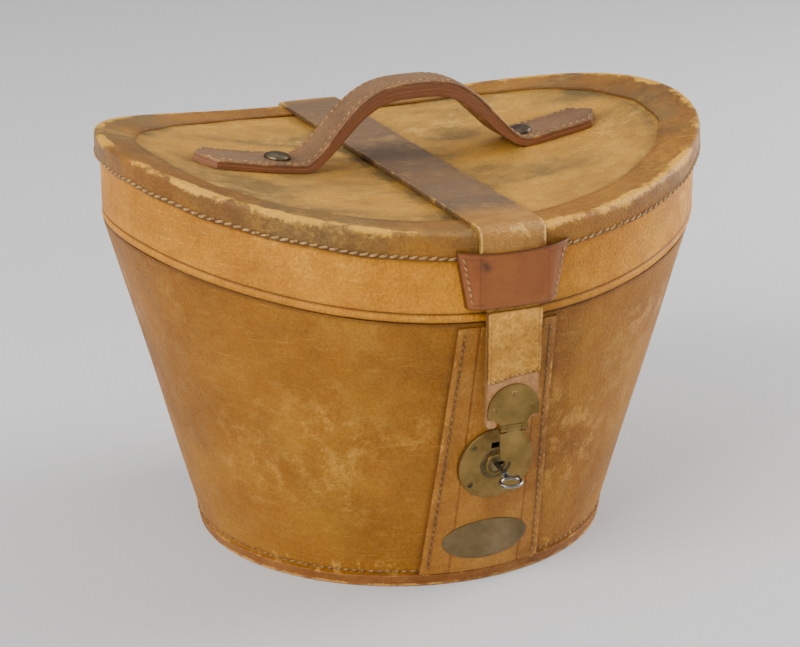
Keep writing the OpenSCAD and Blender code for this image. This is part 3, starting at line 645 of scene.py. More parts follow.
FOOT_SEAM_Z = 9.2  # height of the sewing over the foot
STAY_LOW, STAY_FOOT_HALF, STAY_TAPER = 6.6, 35.7, 0.0477  # the strip down the front
lock_middle = np.array(joints["key_turn"]["pos_m"]) / MM
lock_hollow = front_block(half_x=11.7, low=-13.2, high=17.7, deep=14, proud=6)

t = angles(520)
lip = [(-0.05, 0.9988), (-0.25, 1.0), (-0.9, 1.0), (-1.55, 1.0), (-1.75, 0.9988)]
up_the_face = [(0, h) for h in np.linspace(0.004, 0.996, 84)]
down_the_back = [(-LEATHER_T, h) for h in np.linspace(0.996, 0.004, 30)]
under_edge = [(out, 1.0 - h) for out, h in lip[::-1]]
hide_section = np.array(up_the_face + lip + down_the_back + under_edge)
points, height = wall_section(hide_section, t)
on_face = hide_section[:, 0][None] > -0.1
over_foot = near(height, FOOT_SEAM_Z, 0.9) * on_face
foot_rub = near(height, 8, 10) * 0.45 * on_face
# Painted shade darkens the hide along the foot's sewing, against the edges of the stay and under the lid's
# edge.
across, deep = np.abs(points[..., 0]), points[..., 1]
stay_edge = STAY_FOOT_HALF + 0.4 - STAY_TAPER * (height - STAY_LOW)
shade_under_lid = near(height, slit_z + saddle(points[..., 0]), 1.6) * 0.6
grime_and_shade = 0.42 * near(across, stay_edge, 1.6) * (deep < 0) * (height < slit_z) + shade_under_lid
dirt_and_shade = np.clip(0.5 * over_foot + grime_and_shade, 0, 0.9)
piece("bucket_hide", [grid(points, True, True, seam=dirt_and_shade, worn=foot_rub)], hide_tan, "bucket",
      ["body_leather"], hollow=lock_hollow)

lining_section = rounded([(-4.2, 0.032), (-4.2, 1.0), (-5.0, 1.0), (-5.0, 0.032)], [0.002] * 4,
                         step=0.04)
points, height = wall_section(lining_section, angles(240))
piece("bucket_lining", [grid(points, True, True)], cotton, "bucket",
      ["wall_lining"], hollow=lock_hollow)

# %% [markdown]
# ### Foot binding, lid side and rim binding
#
# The foot and the rim are bound with strips of thinner leather. The rim's strip is folded
# over the corner of the lid and sewn through near its lower edge; a century of handling has
# rubbed its corner yellow. The lid's side has a creased line about 5 mm above its edge, and
# the leather below the crease is turned to a soft bead.


# %% Foot binding
foot_section = rounded([(0.02, 0.1), (0.02, 6.5), (1.2, 6.5), (1.4, 0.1)], [0.1, 0.1, 0.7, 0.5],
                       step=0.6)
t = angles(360)
out, up = foot_section[:, 0][None], foot_section[:, 1][None]
z = up + 0.25 * np.sin(11 * t) * (up > 5)
points = wall(t, z, out + swell(t, z) * (up > 1))
rub = near(z, 0.5, 1.6) * 0.75 + near(z, 6.4, 0.8) * 0.5
piece("foot_welt", [grid(points, True, True, worn=rub)], hide_foot, "bucket",
      ["foot_binding"])

# %% Lid side with its crease and bead
low = slit_z - lid_z + 0.3
bead = [(-0.9, low), (-0.35, low + 0.2), (0.0, low + 0.9), (0.25, low + 2.2), (0.1, low + 3.9),
        (-0.45, low + 5.0), (0.0, low + 6.0)]
side_path = np.array(bead + [(0.0, -30 + k * 3.0) for k in range(10)]
                     + [(-0.2, -1.9), (-LEATHER_T, -1.9), (-LEATHER_T, low)])
dense = []
for a, b in zip(side_path, np.roll(side_path, -1, axis=0)):
    count = max(int(np.linalg.norm(b - a) / 0.8), 1)
    dense.append(a + (b - a) * np.linspace(0, 1, count + 1)[:-1, None])
side_section = np.concatenate(dense)
t = angles(420)
out, up = side_section[:, 0][None], side_section[:, 1][None]
ripple = (0.10 * np.sin(5 * t + 1) + 0.08 * np.sin(11 * t)) * (out > -1)
x, y = outline(RIM, out + ripple, t)
z = lid_z + saddle(x) + up
outside = out > -1.0
# Painted shade: dark lines in the crease 5 mm up, at the slit under the edge, and under the binding's lower
# edge.
crease = near(up, low + 5.0, 0.55) + 0.85 * near(up, low, 0.7) + 0.3 * near(up, -13.6, 0.9)
crease = np.clip(crease * outside, 0, 0.9)
# Paler bands on the bead's crown and under the binding: partly rubbed hide, partly a painted highlight.
bead_rub_and_highlight = near(up, low + 2.6, 1.8) * outside * 0.30 + near(up, -15.5, 2.5) * 0.15
piece("lid_side_hide", [grid(np.stack([x, y, z], -1), True, True, seam=crease, worn=bead_rub_and_highlight)],
      hide_lid, "lid", ["lid_leather"])

# %% Rim binding
BINDING_DROP, BINDING_REACH = 13.4, 21  # how far it comes down the side and in over the top
RIM_SEAM_UP = -11.7  # height of the sewing under the lid's top
binding_section = rounded(
    [(0.02, -BINDING_DROP), (2.3, -BINDING_DROP), (2.75, -6.5), (2.6, 1.4),
     (-BINDING_REACH, 1.4), (-BINDING_REACH, 0.05), (0.02, 0.05)],
    [0.1, 0.9, 30, 4.0, 0.8, 0.1, 0.1], step=0.7, arc=9)
t = angles(420)
out, up = binding_section[:, 0][None], binding_section[:, 1][None]
lower = 0.35 * np.sin(23 * t + 1) * near(up, -BINDING_DROP, 2) + 0.25 * np.sin(9 * t)
inner = (0.8 * np.sin(6 * t + 0.4) + 0.5 * np.sin(17 * t)) * near(out, -BINDING_REACH, 4)
x, y = outline(RIM, out + inner * (up > 0.0), t)
z = lid_z + saddle(x) + up + lower * (up < -5)
skin = ((out > 0.5) | (up > 0.5)) * 1.0
corner = near(np.hypot(out - 0.6, up - 0.6), 0, 4.6) * skin
patchy = 0.62 + 0.3 * np.sin(3 * t + 2.2) * np.sin(8 * t) + 0.2 * np.sin(19 * t + 1)
rub = 1.15 * patchy * corner + 0.30 * near(out, -BINDING_REACH, 1.2) * (up > 0.6)
rub = rub + 0.22 * near(up, -12.9, 0.8) * (out > 1)
on_top = near(out, -6, 7) * (up > 0.9) * (0.5 + 0.5 * np.sin(2 * t + 2.6))
rub = np.clip(rub + 0.25 * on_top, 0, 1)
# Painted shade: a dark line under the binding's lower edge, along the sewing, in a crease on the top, and
# where the binding meets the panel.
dirt_and_shade = 0.85 * near(up, -BINDING_DROP, 0.5) * (out > 0.3)
dirt_and_shade = dirt_and_shade + 0.55 * near(up, RIM_SEAM_UP, 1.1) * (out > 1)
dirt_and_shade = dirt_and_shade + 0.35 * near(out, -19.0, 0.5) * (up > 0.9)
dirt_and_shade = np.clip(dirt_and_shade + 0.5 * near(out, -20.9, 0.4) * (up > 0.2), 0, 0.9)
points = np.stack([x, y, z], -1)
piece("rim_welt", [grid(points, True, True, worn=rub, seam=dirt_and_shade, tone=0.15 * (up > 0.8))],
      hide_binding, "lid", ["rim_binding"])

# %% [markdown]
# ### The lid's panel, the bottom, and the linings
#
# These close the rings. Each is a disc whose points are the outline drawn in towards the
# middle. The lid's panel lies on the saddle and has the darkest drifts of grime, where dust
# settled and was rubbed in.


# %% Discs
def disc(size, out, share, count=240):
    """Points of the outline drawn in: row by row at each share of its size."""
    x, y = outline(size, out, angles(count).T)
    s = np.asarray(share, float)[:, None]
    return s * x, s * y


def slab(face, back, **marks):
    """Closes a disc: its face with marks, some rows of its back, and the edge between them."""
    edge = np.stack([face[-1], back[-1]])
    return [grid(face, wrap_columns=True, **marks), grid(back, wrap_columns=True),
            grid(edge, wrap_columns=True)]


share = np.concatenate([np.linspace(0.0, 0.96, 60), [0.98, 0.99, 1.0]])
x, y = disc(RIM, -0.6, share)
waves = 0.35 * np.sin(x / 26 + 1) * np.sin(y / 31) + 0.2 * np.sin(x / 11 + y / 17)
top = np.stack([x, y, lid_z + saddle(x) - 0.35 + 0.5 * waves], -1)
under = np.stack([x, y, lid_z + saddle(x) - LEATHER_T + 0 * x], -1)
distance_in = (1 - share[:, None]) * 150
by_binding = near(distance_in, BINDING_REACH, 3.5)
by_strap = near(np.abs(x), 20.5, 4.0) * 0.35
piece("lid_panel_hide", slab(top, under[[0, 20, 40, -1]], tone=0.45 * by_binding + by_strap),
      hide_panel, "lid", ["lid_top_leather"])

share = np.concatenate([np.linspace(0.0, 0.95, 16), [0.98, 1.0]])
x, y = disc(FOOT, -4.4, share)
base = np.stack([x, y, 0.05 + 0.3 * near(share[:, None], 1, 0.02) + 0 * x], -1)
inside = np.stack([x, y, 1.75 + 0 * x], -1)
foot_rub = 0.5 * near(share[:, None], 0.97, 0.05)
piece("bottom_hide", slab(base, inside[[0, 8, -1]], worn=foot_rub, tone=0.4),
      hide_tan, "bucket", ["bottom_leather"])
low_z = corner_mm("floor_lining", 0)[2]
floor_top = np.stack([x, y, low_z + 0.75 + 0.04 * np.sin(x / 9) * np.sin(y / 8)], -1)
floor_under = np.stack([x, y, low_z + 0.02 + 0 * x], -1)
piece("floor_cloth", slab(floor_top, floor_under[[0, 8, -1]]),
      cotton, "bucket", ["floor_lining"])

# %% Lid lining: its side and ceiling in one skin
share = np.concatenate([np.linspace(0.0, 0.92, 24), [0.96, 1.0]])
ceiling = lid_z - LEATHER_T - 2.4
x, y = disc(RIM, -5.0, share)
puckers = 0.12 * np.sin(x / 13) * np.sin(y / 12) * (share[:, None] < 0.97)
face = np.stack([x, y, ceiling - 0.8 + saddle(x) + puckers], -1)
t = angles(240).T
drop = np.linspace(-0.8, slit_z + 0.4 - ceiling, 14)[:, None]
side_x, side_y = outline(RIM, -5.0, t + 0 * drop)
side = np.stack([side_x, side_y, ceiling + saddle(side_x) + drop], -1)
back_x, back_y = outline(RIM, -4.25, t + 0 * drop)
back = np.stack([back_x, back_y, ceiling + saddle(back_x) + drop], -1)
bx, by = disc(RIM, -4.25, share)
over = np.stack([bx, by, ceiling - 0.05 + saddle(bx)], -1)
piece("lid_cloth", [grid(face, wrap_columns=True), grid(side, wrap_columns=True),
                    grid(back[[-1, 0]], wrap_columns=True),
                    grid(np.stack([side[-1], back[-1]]), wrap_columns=True),
                    grid(np.stack([back[0], over[-1]]), wrap_columns=True),
                    grid(over[[0, 6, 12, 18, -1]], wrap_columns=True)],
      cotton, "lid", ["lid_lining"])

# %% Collar that the lid slides over
rise, dip = 14.0, 22.0
collar_section = rounded(
    [(-7.0, -dip), (-7.9, 0), (-8.0, rise), (-6.0, rise), (-6.0, 0), (-5.2, -2.0), (-5.05, -dip)],
    [0.3, 2, 0.9, 0.9, 0.4, 0.4, 0.3], step=1.2)
t = angles(300)
out, up = collar_section[:, 0][None], collar_section[:, 1][None]
x, y = outline(RIM, out, t)
z = slit_z + saddle(x) + up
flared = wall(t, np.minimum(z, slit_z + saddle(x)), out - 0.1)
x, y = np.where(up < -0.01, flared[..., 0], x), np.where(up < -0.01, flared[..., 1], y)
piece("collar_skiver", [grid(np.stack([x, y, z], -1), True, True, worn=0.5 * near(up, rise, 1.5),
                             seam=0.3 * near(up, rise - 3.2, 0.5))],
      hide_collar, "bucket", ["collar"])

# %% [markdown]
# ## Strips: stay, strap, keeper, tongue and handle
#
# The other leathers are strips cut from sheet. One function makes any of them: it takes the
# strip's half width along its length and a rule that lays a flat point (across, along,
# height) on the box. Its edges are rounded over and its underside is closed.


# %% Lay a strip
def strip(lay, half, start, end, thick, edge=0.6, columns=22, rows=60, middle=None, relief=None,
          mark=None):
    """Grids of a cut strip. Border points keep the outline and step up a quarter round of radius
    edge: inset = edge (1 - cos a), height = thick - edge (1 - sin a)."""
    turn = np.radians([0, 30, 60, 90])
    inset_b = np.concatenate([[0], edge * (1 - np.cos(turn))])
    height_b = np.concatenate([[0], thick - edge * (1 - np.sin(turn))])

    def spread(count):
        """Share across, inset and height of one row of points, border points included."""
        inner = np.linspace(-1, 1, count)[1:-1]
        share = np.concatenate([-np.ones(5), inner, np.ones(5)])
        inset = np.concatenate([inset_b, np.full(len(inner), edge), inset_b[::-1]])
        height = np.concatenate([height_b, np.full(len(inner), thick), height_b[::-1]])
        return share, inset, height

    share_c, inset_c, height_c = spread(columns)
    share_r, inset_r, height_r = spread(rows)
    s = ((start + end) / 2 + share_r * ((end - start) / 2 - inset_r))[:, None]
    wide = half(s) + 0 * s
    x = share_c[None] * np.maximum(wide - inset_c[None], 0.0)
    shift = middle(s) if middle else 0.0
    x = x + shift
    h = np.minimum(height_c[None], height_r[:, None])
    lift = (relief(x, s) if relief else 0.0) * (h / thick)
    from_edge = np.minimum(wide - np.abs(x - shift), np.minimum(s - start, end - s))
    marks = mark(x, s, from_edge) if mark else {}
    s = s + 0 * x
    return [grid(lay(x, s, h + lift), **marks), grid(lay(x, s, 0 * h), **marks)]


def smooth(value):
    """Smooth step from 0 to 1: v v (3 - 2 v), held at its ends."""
    v = np.clip(value, 0, 1)
    return v * v * (3 - 2 * v)


# %% [markdown]
# ### Sewing
#
# Each stitch is its own short thread, 3 to 5 mm long: it comes up through one awl hole, lies
# on the leather under tension and goes down through the next, so it stands highest in its
# middle. Saddle stitching leans a little across its row.


# %% Sew a row
SUNK, THREAD_SIDES = 0.2, 6  # how deep a stitch's ends lie in the leather, and its facets


def sew(name, path, away, pitch, material, body, slot, long=0.9, wide=1.0, high=0.5, slant=0.0,
        closed=False):
    """Threads along a path of points, away being the direction off the leather at each point.
    A thread's middle line rises as high (1 - v^2) and its radius falls as sqrt(1 - v^4), v from -1 to 1."""
    path = np.asarray(path, float)
    away = np.asarray(away, float) + 0 * path
    if closed:
        path, away = np.vstack([path, path[:1]]), np.vstack([away, away[:1]])
    run = np.concatenate([[0], np.cumsum(np.linalg.norm(np.diff(path, axis=0), axis=1))])
    count = max(int(round(run[-1] / pitch)), 1)
    gap = run[-1] / count
    v = np.array([-1.0, -0.8, -0.4, 0.0, 0.4, 0.8, 1.0])
    where = (np.arange(count) + 0.5)[:, None] * gap + v[None] * gap * long / 2
    middle = np.stack([np.interp(where, run, path[:, i]) for i in range(3)], -1)
    off = np.stack([np.interp(where, run, away[:, i]) for i in range(3)], -1)
    off /= np.linalg.norm(off, axis=-1, keepdims=True)
    along = middle[:, -1:] - middle[:, :1]
    along = along / np.linalg.norm(along, axis=-1, keepdims=True) + 0 * middle
    side = np.cross(off, along)
    middle = middle + off * (high * (1 - v**2) - SUNK)[None, :, None]
    middle = middle + side * (slant * v)[None, :, None]
    angle = np.arange(THREAD_SIDES) * 2 * np.pi / THREAD_SIDES
    radius = (wide / 2 * np.sqrt(np.maximum(1 - v**4, 0)))[None, :, None, None]
    ring = middle[:, :, None] + radius * (side[:, :, None] * np.cos(angle)[:, None]
                                          + off[:, :, None] * 0.75 * np.sin(angle)[:, None])
    size = len(v) * THREAD_SIDES
    quads = grid(ring[0], wrap_columns=True)[1]
    quads = (quads[None] + (np.arange(count) * size)[:, None, None]).reshape(-1, 4)
    # Painted shade darkens each stitch's ends where it sinks into its awl hole.
    hole_shade = np.broadcast_to(near(np.abs(v), 1, 0.3)[None, :, None], (count, len(v), THREAD_SIDES)).ravel()
    return piece(name, [(ring.reshape(-1, 3), quads, {"seam": hole_shade})], material, body)


t = angles(1440)[:, 0]
outward = np.stack([np.sin(t), -np.cos(t), 0.08 + 0 * t], -1)
x, y = outline(RIM, 2.45, t)
wander = 0.35 * np.sin(23 * t + 1) + 0.25 * np.sin(9 * t)
sew("rim_sewing", np.stack([x, y, lid_z + saddle(x) + RIM_SEAM_UP + wander], -1), outward, 5.1,
    thread_pale, "lid", "binding_leather", long=1.05, wide=1.45, high=0.55, slant=0.75,
    closed=True)
height = FOOT_SEAM_Z + 0.2 * np.sin(9 * t)
sew("foot_sewing", wall(t, height, swell(t, height)), outward, 4.6, thread_dark, "bucket",
    "foot_leather", long=0.86, wide=1.15, high=0.5, slant=0.35, closed=True)

# %% [markdown]
# ### The stay
#
# A strip of the same hide, wider at the foot, stiffens the front where the lock is riveted
# through. It is sewn near both edges, and two pressed lines run down it where the lock's
# own lining lies underneath.


# %% Stay with its sewing
STAY_TOP_HALF, STAY_T, STAY_SEAM_IN = 28.4, 1.25, 4.0
stay_high = slit_z - 2.0


def stay_half(z):
    """Half the stay's width: from the foot's to the top's, in proportion to the height."""
    share = (z - STAY_LOW) / (stay_high - STAY_LOW)
    return STAY_FOOT_HALF + (STAY_TOP_HALF - STAY_FOOT_HALF) * share


def pressed_lines(x, z, width):
    """The two lines pressed down the stay, each a soft bump of 1 this wide."""
    return near(x, 21.5 - 0.01 * z, width) + near(x, -19.5 + 0.02 * z, width)


def stay_marks(x, z, from_edge):
    """Painted shade in the pressed lines, in the sewn row and along the edge, and a rub inside the edge."""
    row = 0.7 * near(from_edge, STAY_SEAM_IN, 0.8) * (np.abs(x) > 20)
    dirt_and_shade = 0.55 * pressed_lines(x, z, 0.5) + row + 0.75 * near(from_edge, 0, 0.35)
    return {"seam": np.clip(dirt_and_shade, 0, 0.9), "worn": 0.36 * near(from_edge, 0.9, 0.9) + 0.1}


piece("stay_strip", strip(lambda x, z, h: on_wall(x, z, h + 0.03), stay_half, STAY_LOW, stay_high,
                          STAY_T, edge=0.5, columns=110, rows=70,
                          relief=lambda x, z: -0.30 * pressed_lines(x, z, 0.6), mark=stay_marks),
      hide_stay, "bucket", ["front_stay"], hollow=lock_hollow)
z = np.linspace(STAY_LOW + 3, stay_high - 4, 300)
for side, label in SIDES:
    row = on_wall(side * (stay_half(z) - STAY_SEAM_IN), z, STAY_T)
    sew(f"stay_sewing_{label}", row, [0, -1, -0.15], 4.4, thread_dark, "bucket", "stay_leather",
        long=0.8, wide=1.2, high=0.6, slant=0.45)

# %% [markdown]
# ### The strap over the lid
#
# A thick strap starts at the hinge, lies over the lid from back to front and turns down over
# the rim to the keeper. It is drawn tight from rim to rim, so there is a thin shadow under
# it. Its path is a line with rounded corners, seen from the side; across its width the path
# follows the saddle and the rim's curve.


# %% Strap
def side_path(corners, radii, step=1.0):
    """Open path with rounded corners, as run length, y, z and the direction off its left. A
    corner c between a and b is rounded by (1-s)^2 a + 2s(1-s) c + s^2 b."""
    corners = np.asarray(corners, float)
    points = [corners[:1]]
    for i in range(1, len(corners) - 1):
        c, a, b = corners[i], corners[i - 1], corners[i + 1]
        ua, ub = (a - c) / np.linalg.norm(a - c), (b - c) / np.linalg.norm(b - c)
        reach = min(radii[i - 1], 0.49 * np.linalg.norm(a - c), 0.49 * np.linalg.norm(b - c))
        s = np.linspace(0, 1, 13)[:, None]
        points.append((1 - s) ** 2 * (c + ua * reach) + 2 * s * (1 - s) * c + s**2 * (c + ub * reach))
    points = np.concatenate(points + [corners[-1:]])
    run = np.concatenate([[0], np.cumsum(np.linalg.norm(np.diff(points, axis=0), axis=1))])
    fine = np.arange(0, run[-1], step)
    y, z = np.interp(fine, run, points[:, 0]), np.interp(fine, run, points[:, 1])
    dy, dz = np.gradient(y), np.gradient(z)
    size = np.hypot(dy, dz)
    return fine, y, z, -dz / size, dy / size


STRAP_T, STRAP_HALF, STRAP_END_Z = 2.5, 18.4, 169.8
over_binding = rim_d + 2.75
strap_run, strap_y, strap_z, strap_ny, strap_nz = side_path(
    [(-over_binding, STRAP_END_Z), (-over_binding, lid_z + 1.5), (0, lid_z + 1.1),
     (over_binding, lid_z + 1.5), (over_binding, lid_z - 13), (rim_d + 0.25, lid_z - 24),
     (rim_d + 0.25, slit_z + 3.2)],
    [4.6, 30, 4.6, 4, 4])


def on_strap(x, s, h):
    """Lays a point on the strap's path: y is scaled by the rim's depth at x, z raised by the saddle."""
    depth = np.abs(outline(RIM, 0, facing(x))[1]) / rim_d
    y = np.interp(s, strap_run, strap_y) + h * np.interp(s, strap_run, strap_ny)
    z = np.interp(s, strap_run, strap_z) + h * np.interp(s, strap_run, strap_nz)
    return np.stack([x, y * depth, z + saddle(x)], -1)


front_turn = lid_z - STRAP_END_Z
back_turn = front_turn + 2 * rim_d + 5


def strap_marks(x, s, from_edge):
    """Rubbed edges and turns, painted shade at the edge and in the line pressed near it, and grime from a
    smooth step to the next.
    """
    corner = near(s, front_turn, 7) + near(s, back_turn, 7)
    return {"worn": np.clip(0.42 * near(from_edge, 0.3, 0.9) + 0.42 * corner, 0, 1),
            "seam": 0.7 * near(from_edge, -0.1, 0.25) + 0.25 * near(from_edge, 2.4, 0.35),
            "tone": 0.8 * smooth((s - front_turn - 12) / 30) * smooth((back_turn - s) / 12)}


def strap_relief(x, s):
    """A crown of 0.35 mm across the strap, less the line pressed near each edge."""
    return 0.35 * (1 - (x / 18.6) ** 2) - 0.12 * near(np.abs(x), 16.2, 0.5)


piece("lid_strap_leather", strip(on_strap, lambda s: STRAP_HALF + 0.25 * np.sin(s / 37), 0.0,
                                 strap_run[-1] - 0.5, STRAP_T, edge=0.8, columns=40, rows=330,
                                 middle=lambda s: -0.9 + 0.5 * np.sin(s / 90),
                                 relief=strap_relief, mark=strap_marks),
      hide_strap, "lid", ["lid_strap"])

# %% [markdown]
# ### The keeper
#
# A polished russet tab, wider at its top, holds the strap down on the front of the lid. Its
# two ends are sewn to the lid, and between them it bridges the strap, whose edges have
# pressed a line into it. Its height over the lid is a smooth step from its wings, which
# climb on to the rim binding, to the strap's face.


# %% Keeper
keeper_low = corner_mm("keeper", 0)[2]
KEEPER_H, KEEPER_T, KEEPER_SEAM_IN = 31.5, 1.7, 3.0
BRIDGE_HALF, BRIDGE_OUT = 18.8, 5.75  # the flat over the strap: half its width, and how far out
WING_FILL = 2.2  # its face never lies lower than this, so that its wings aren't steep
LEFT_LINE = -19.4  # where the strap's left edge has pressed a line


def keeper_half(z):
    """Half the keeper's width at z: it widens upwards."""
    return 25.3 + 6.0 * (z - keeper_low) / KEEPER_H


def on_keeper(x, z, h):
    """Rim's front at x, with the top edge sagging and the lower edge bowed. From a wing to the
    bridge the back climbs as a smooth step to the power 0.7, and the face to the power 0.5."""
    share = (z - keeper_low) / KEEPER_H
    wing = 0.12 + 2.75 * smooth((z - (lid_z - 16.0)) / 3.0)
    climb = smooth((keeper_half(z) - np.abs(x)) / (keeper_half(z) - BRIDGE_HALF))
    back_out = wing + (BRIDGE_OUT - wing) * climb**0.7
    filled = np.maximum(wing, WING_FILL)
    face_out = filled + (BRIDGE_OUT - filled) * climb**0.5
    z = z - 2.2 * share * (1 - (x / 32) ** 2) - 0.25 * (1 - share) * (1 - (x / 26) ** 2)
    return on_rim(x, z, back_out + (face_out - back_out) * h / KEEPER_T + h)


def keeper_marks(x, z, from_edge):
    """Painted shade in the pressed lines, along the sewing and at the edge, one dark blot at the top
    left, whose border wanders by sines, and a rub inside the edge."""
    pressed = 0.4 * near(x, LEFT_LINE, 0.35) + 0.25 * near(x, 17.8, 0.35)
    pressed = pressed + 0.15 * near(x, -17.6, 0.3)
    sides = (np.abs(x) > 18) * near(from_edge, KEEPER_SEAM_IN, 0.6) * 0.35
    right, up = x + 16.5, z - keeper_low - 24.5
    wander = 0.7 * np.sin(2 * np.arctan2(up, right) + 1) + 0.5 * np.sin(7 * x) * np.sin(5 * z)
    blot = 0.85 * near(np.hypot(right / 1.5, up) + wander, 0, 2.0)
    return {"seam": np.clip(pressed + sides + 0.8 * near(from_edge, 0.0, 0.7) + blot, 0, 0.92),
            "worn": 0.35 * near(from_edge, 1.6, 0.8)}


piece("keeper_tab", strip(on_keeper, keeper_half, keeper_low, keeper_low + KEEPER_H, KEEPER_T,
                          edge=0.7, columns=110, rows=60, mark=keeper_marks,
                          relief=lambda x, z: -0.12 * near(x, LEFT_LINE, 0.5)),
      hide_keeper, "lid", ["keeper"])
z = np.linspace(keeper_low + 2.6, keeper_low + KEEPER_H - 2.6, 120)
for side, label in SIDES:
    row = on_keeper(side * (keeper_half(z) - KEEPER_SEAM_IN), z, KEEPER_T)
    sew(f"keeper_sewing_{label}", row, [side * 0.35, -1, 0], 3.9, thread_pale, "lid",
        "keeper_leather", long=0.95, wide=1.1, high=0.5, slant=0.5)

# %% [markdown]
# ### The tongue
#
# Below the keeper the strap goes on as a thinner tongue that carries the hasp. Its outer
# layer is worn down to the flesh side and has torn off just over the brass, in a ragged
# slanting line; the smooth pinkish layer behind it goes on to the knuckle. A short strip
# joins it to the strap, between the lid and the tongue; it is not hung on a body.


# %% Tongue
tongue_y = joints["tongue_swing"]["pos_m"][1] / MM
tongue_top = joints["tongue_swing"]["pos_m"][2] / MM - 0.45
tongue_end = corner_mm("tongue", 0)[2]


SUEDE_LOW, TONGUE_HALF = 130.0, 15.0


def on_tongue(out):
    """Lays a point on the upright tongue, out millimetres in front of its hinge line, with its
    edges curled back by 0.25 (x/15)^2."""

    def lay(x, z, h):
        """Across is x, along is z, and height goes forwards."""
        curl = 0.25 * (x / TONGUE_HALF) ** 2
        return np.stack([x, tongue_y - out - h + curl + 0 * z, z + 0 * x], -1)

    return lay


def torn_end(x):
    """Height of the torn edge: a slant that flattens to the right, with small tears."""
    slant = 129.3 + 3.6 * smooth((x + 17) / 24)
    return slant + 0.55 * np.sin(2.3 * x + 1) + 0.4 * np.sin(5.1 * x) + 0.25 * np.sin(9.7 * x + 2)


def on_suede(x, z, h):
    """Stretches the strip down to its torn end and thins its last part by a smooth step."""
    share = (tongue_top - z) / (tongue_top - SUEDE_LOW)
    fray = smooth(share * 30 - 28) * 0.5
    return on_tongue(-0.05)(x, tongue_top - share * (tongue_top - torn_end(x)), h * (1 - fray))


def suede_half(z):
    """Half the outer layer's width: it widens upwards, and its edge is frayed by two sines."""
    return 15.6 + 0.5 * (z - SUEDE_LOW) / 38 + 0.12 * np.sin(z / 1.7) + 0.1 * np.sin(z / 0.6)


def suede_marks(x, z, from_edge):
    """Painted shade at the edges and in two pricked lines along them, a painted shadow down the left edge,
    and a rub at the torn end and the edges.
    """
    dirt_and_shade = 0.75 * near(from_edge, 0.0, 0.5) + 0.35 * near(x, -13.6, 0.35)
    dirt_and_shade = dirt_and_shade + 0.45 * near(x, 14.0, 0.3) + 0.8 * near(x, -16.0, 0.8)
    return {"seam": np.clip(dirt_and_shade, 0, 0.9),
            "worn": 0.4 * near(z, SUEDE_LOW + 1, 2.5) + 0.3 * near(from_edge, 1.0, 0.8)}


def suede_relief(x, z):
    """The nap's unevenness: 0.08 mm times a product of sines."""
    return 0.08 * np.sin(x * 1.1 + np.sin(z * 0.7)) * np.sin(z * 0.9)


piece("tongue_flesh_layer", strip(on_suede, suede_half, SUEDE_LOW, tongue_top, 1.15, edge=0.45,
                                  columns=110, rows=80, relief=suede_relief, mark=suede_marks),
      hide_suede, "tongue", ["tongue"])


def on_backing(x, z, h):
    """Stretches the strip down to its end, which is longer on the left by a smooth step."""
    share = (tongue_top - z) / (tongue_top - tongue_end)
    stop = tongue_end + 0.1 - 2.4 * smooth((-x - 9.0) / 1.2) + 1.2 * smooth((x - 9.5) / 3)
    return on_tongue(-2.55)(x, tongue_top - share * (tongue_top - stop), h)


BACKING_CORNER = 2.2


def backing_half(z):
    """Half the inner layer's width, with its lower corners rounded: r (1 - sqrt(1 - d^2)) less,
    d being how far into the corner z is."""
    into = np.clip((tongue_end + BACKING_CORNER - z) / BACKING_CORNER, 0, 1)
    return 15.1 - BACKING_CORNER * (1 - np.sqrt(1 - into**2))


def backing_marks(x, z, from_edge):
    """Painted shade at the edge and a rub inside it."""
    return {"seam": 0.7 * near(from_edge, 0.0, 0.5), "worn": 0.25 * near(from_edge, 1.2, 0.8)}


piece("tongue_smooth_layer", strip(on_backing, backing_half, tongue_end, tongue_top, 2.45,
                                   edge=0.5, columns=60, rows=90, mark=backing_marks),
      hide_backing, "tongue", ["tongue_backing"])

flex = piece("tongue_flex", strip(on_tongue(-2.3), lambda z: TONGUE_HALF + 0 * z, tongue_top - 3.0,
                                  tongue_top + 3.6, 1.7, edge=0.4, columns=14, rows=26),
             hide_suede, None)
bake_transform(flex)

# %% [markdown]
# ### The hinge
#
# The lid has no metal hinge. The strap's leather runs down the back of the lid and is sewn
# to the bucket, and bends at the slit. The leaf sewn to the bucket rides with it, and a
# short strip between the two covers the bend; it is not hung on either body.


# %% Hinge leaf and its bend
leaf_low, leaf_high = corner_mm("hinge_leaf", 0)[2] + 0.4, slit_z - 3.2
LEAF_T, LEAF_SEAM_IN = 2.2, 3.2
LEAF_SEWING = {"long": 0.88, "wide": 0.95, "high": 0.4, "slant": 0.25}


def leaf_marks(x, z, from_edge):
    """Painted shade at the edge and along the sewing, which stops short of the bend, and a rubbed edge."""
    row = 0.3 * near(from_edge, LEAF_SEAM_IN, 0.6) * (z < leaf_high - 4)
    return {"seam": 0.6 * near(from_edge, 0, 0.4) + row, "worn": 0.6 * near(from_edge, 0.8, 0.9)}


piece("hinge_leaf_leather", strip(lambda x, z, h: on_wall(x, z, h + 0.05, side=1),
                                  lambda z: STRAP_HALF + 0 * z, leaf_low, leaf_high, LEAF_T,
                                  edge=0.7, columns=50, rows=60, mark=leaf_marks),
      hide_strap, "bucket", ["hinge_leaf"])
z = np.linspace(leaf_low + 3.2, leaf_high - 3, 80)
x = np.linspace(-15.2, 15.2, 60)
rows = {"left": (-15.2 + 0 * z, z), "right": (15.2 + 0 * z, z), "low": (x, leaf_low + 3.2 + 0 * x)}
for label, (across, height) in rows.items():
    sew(f"leaf_sewing_{label}", on_wall(across, height, LEAF_T + 0.05, side=1), [0, 1, -0.15], 4.2,
        thread_pale, "bucket", "strap_leather", **LEAF_SEWING)
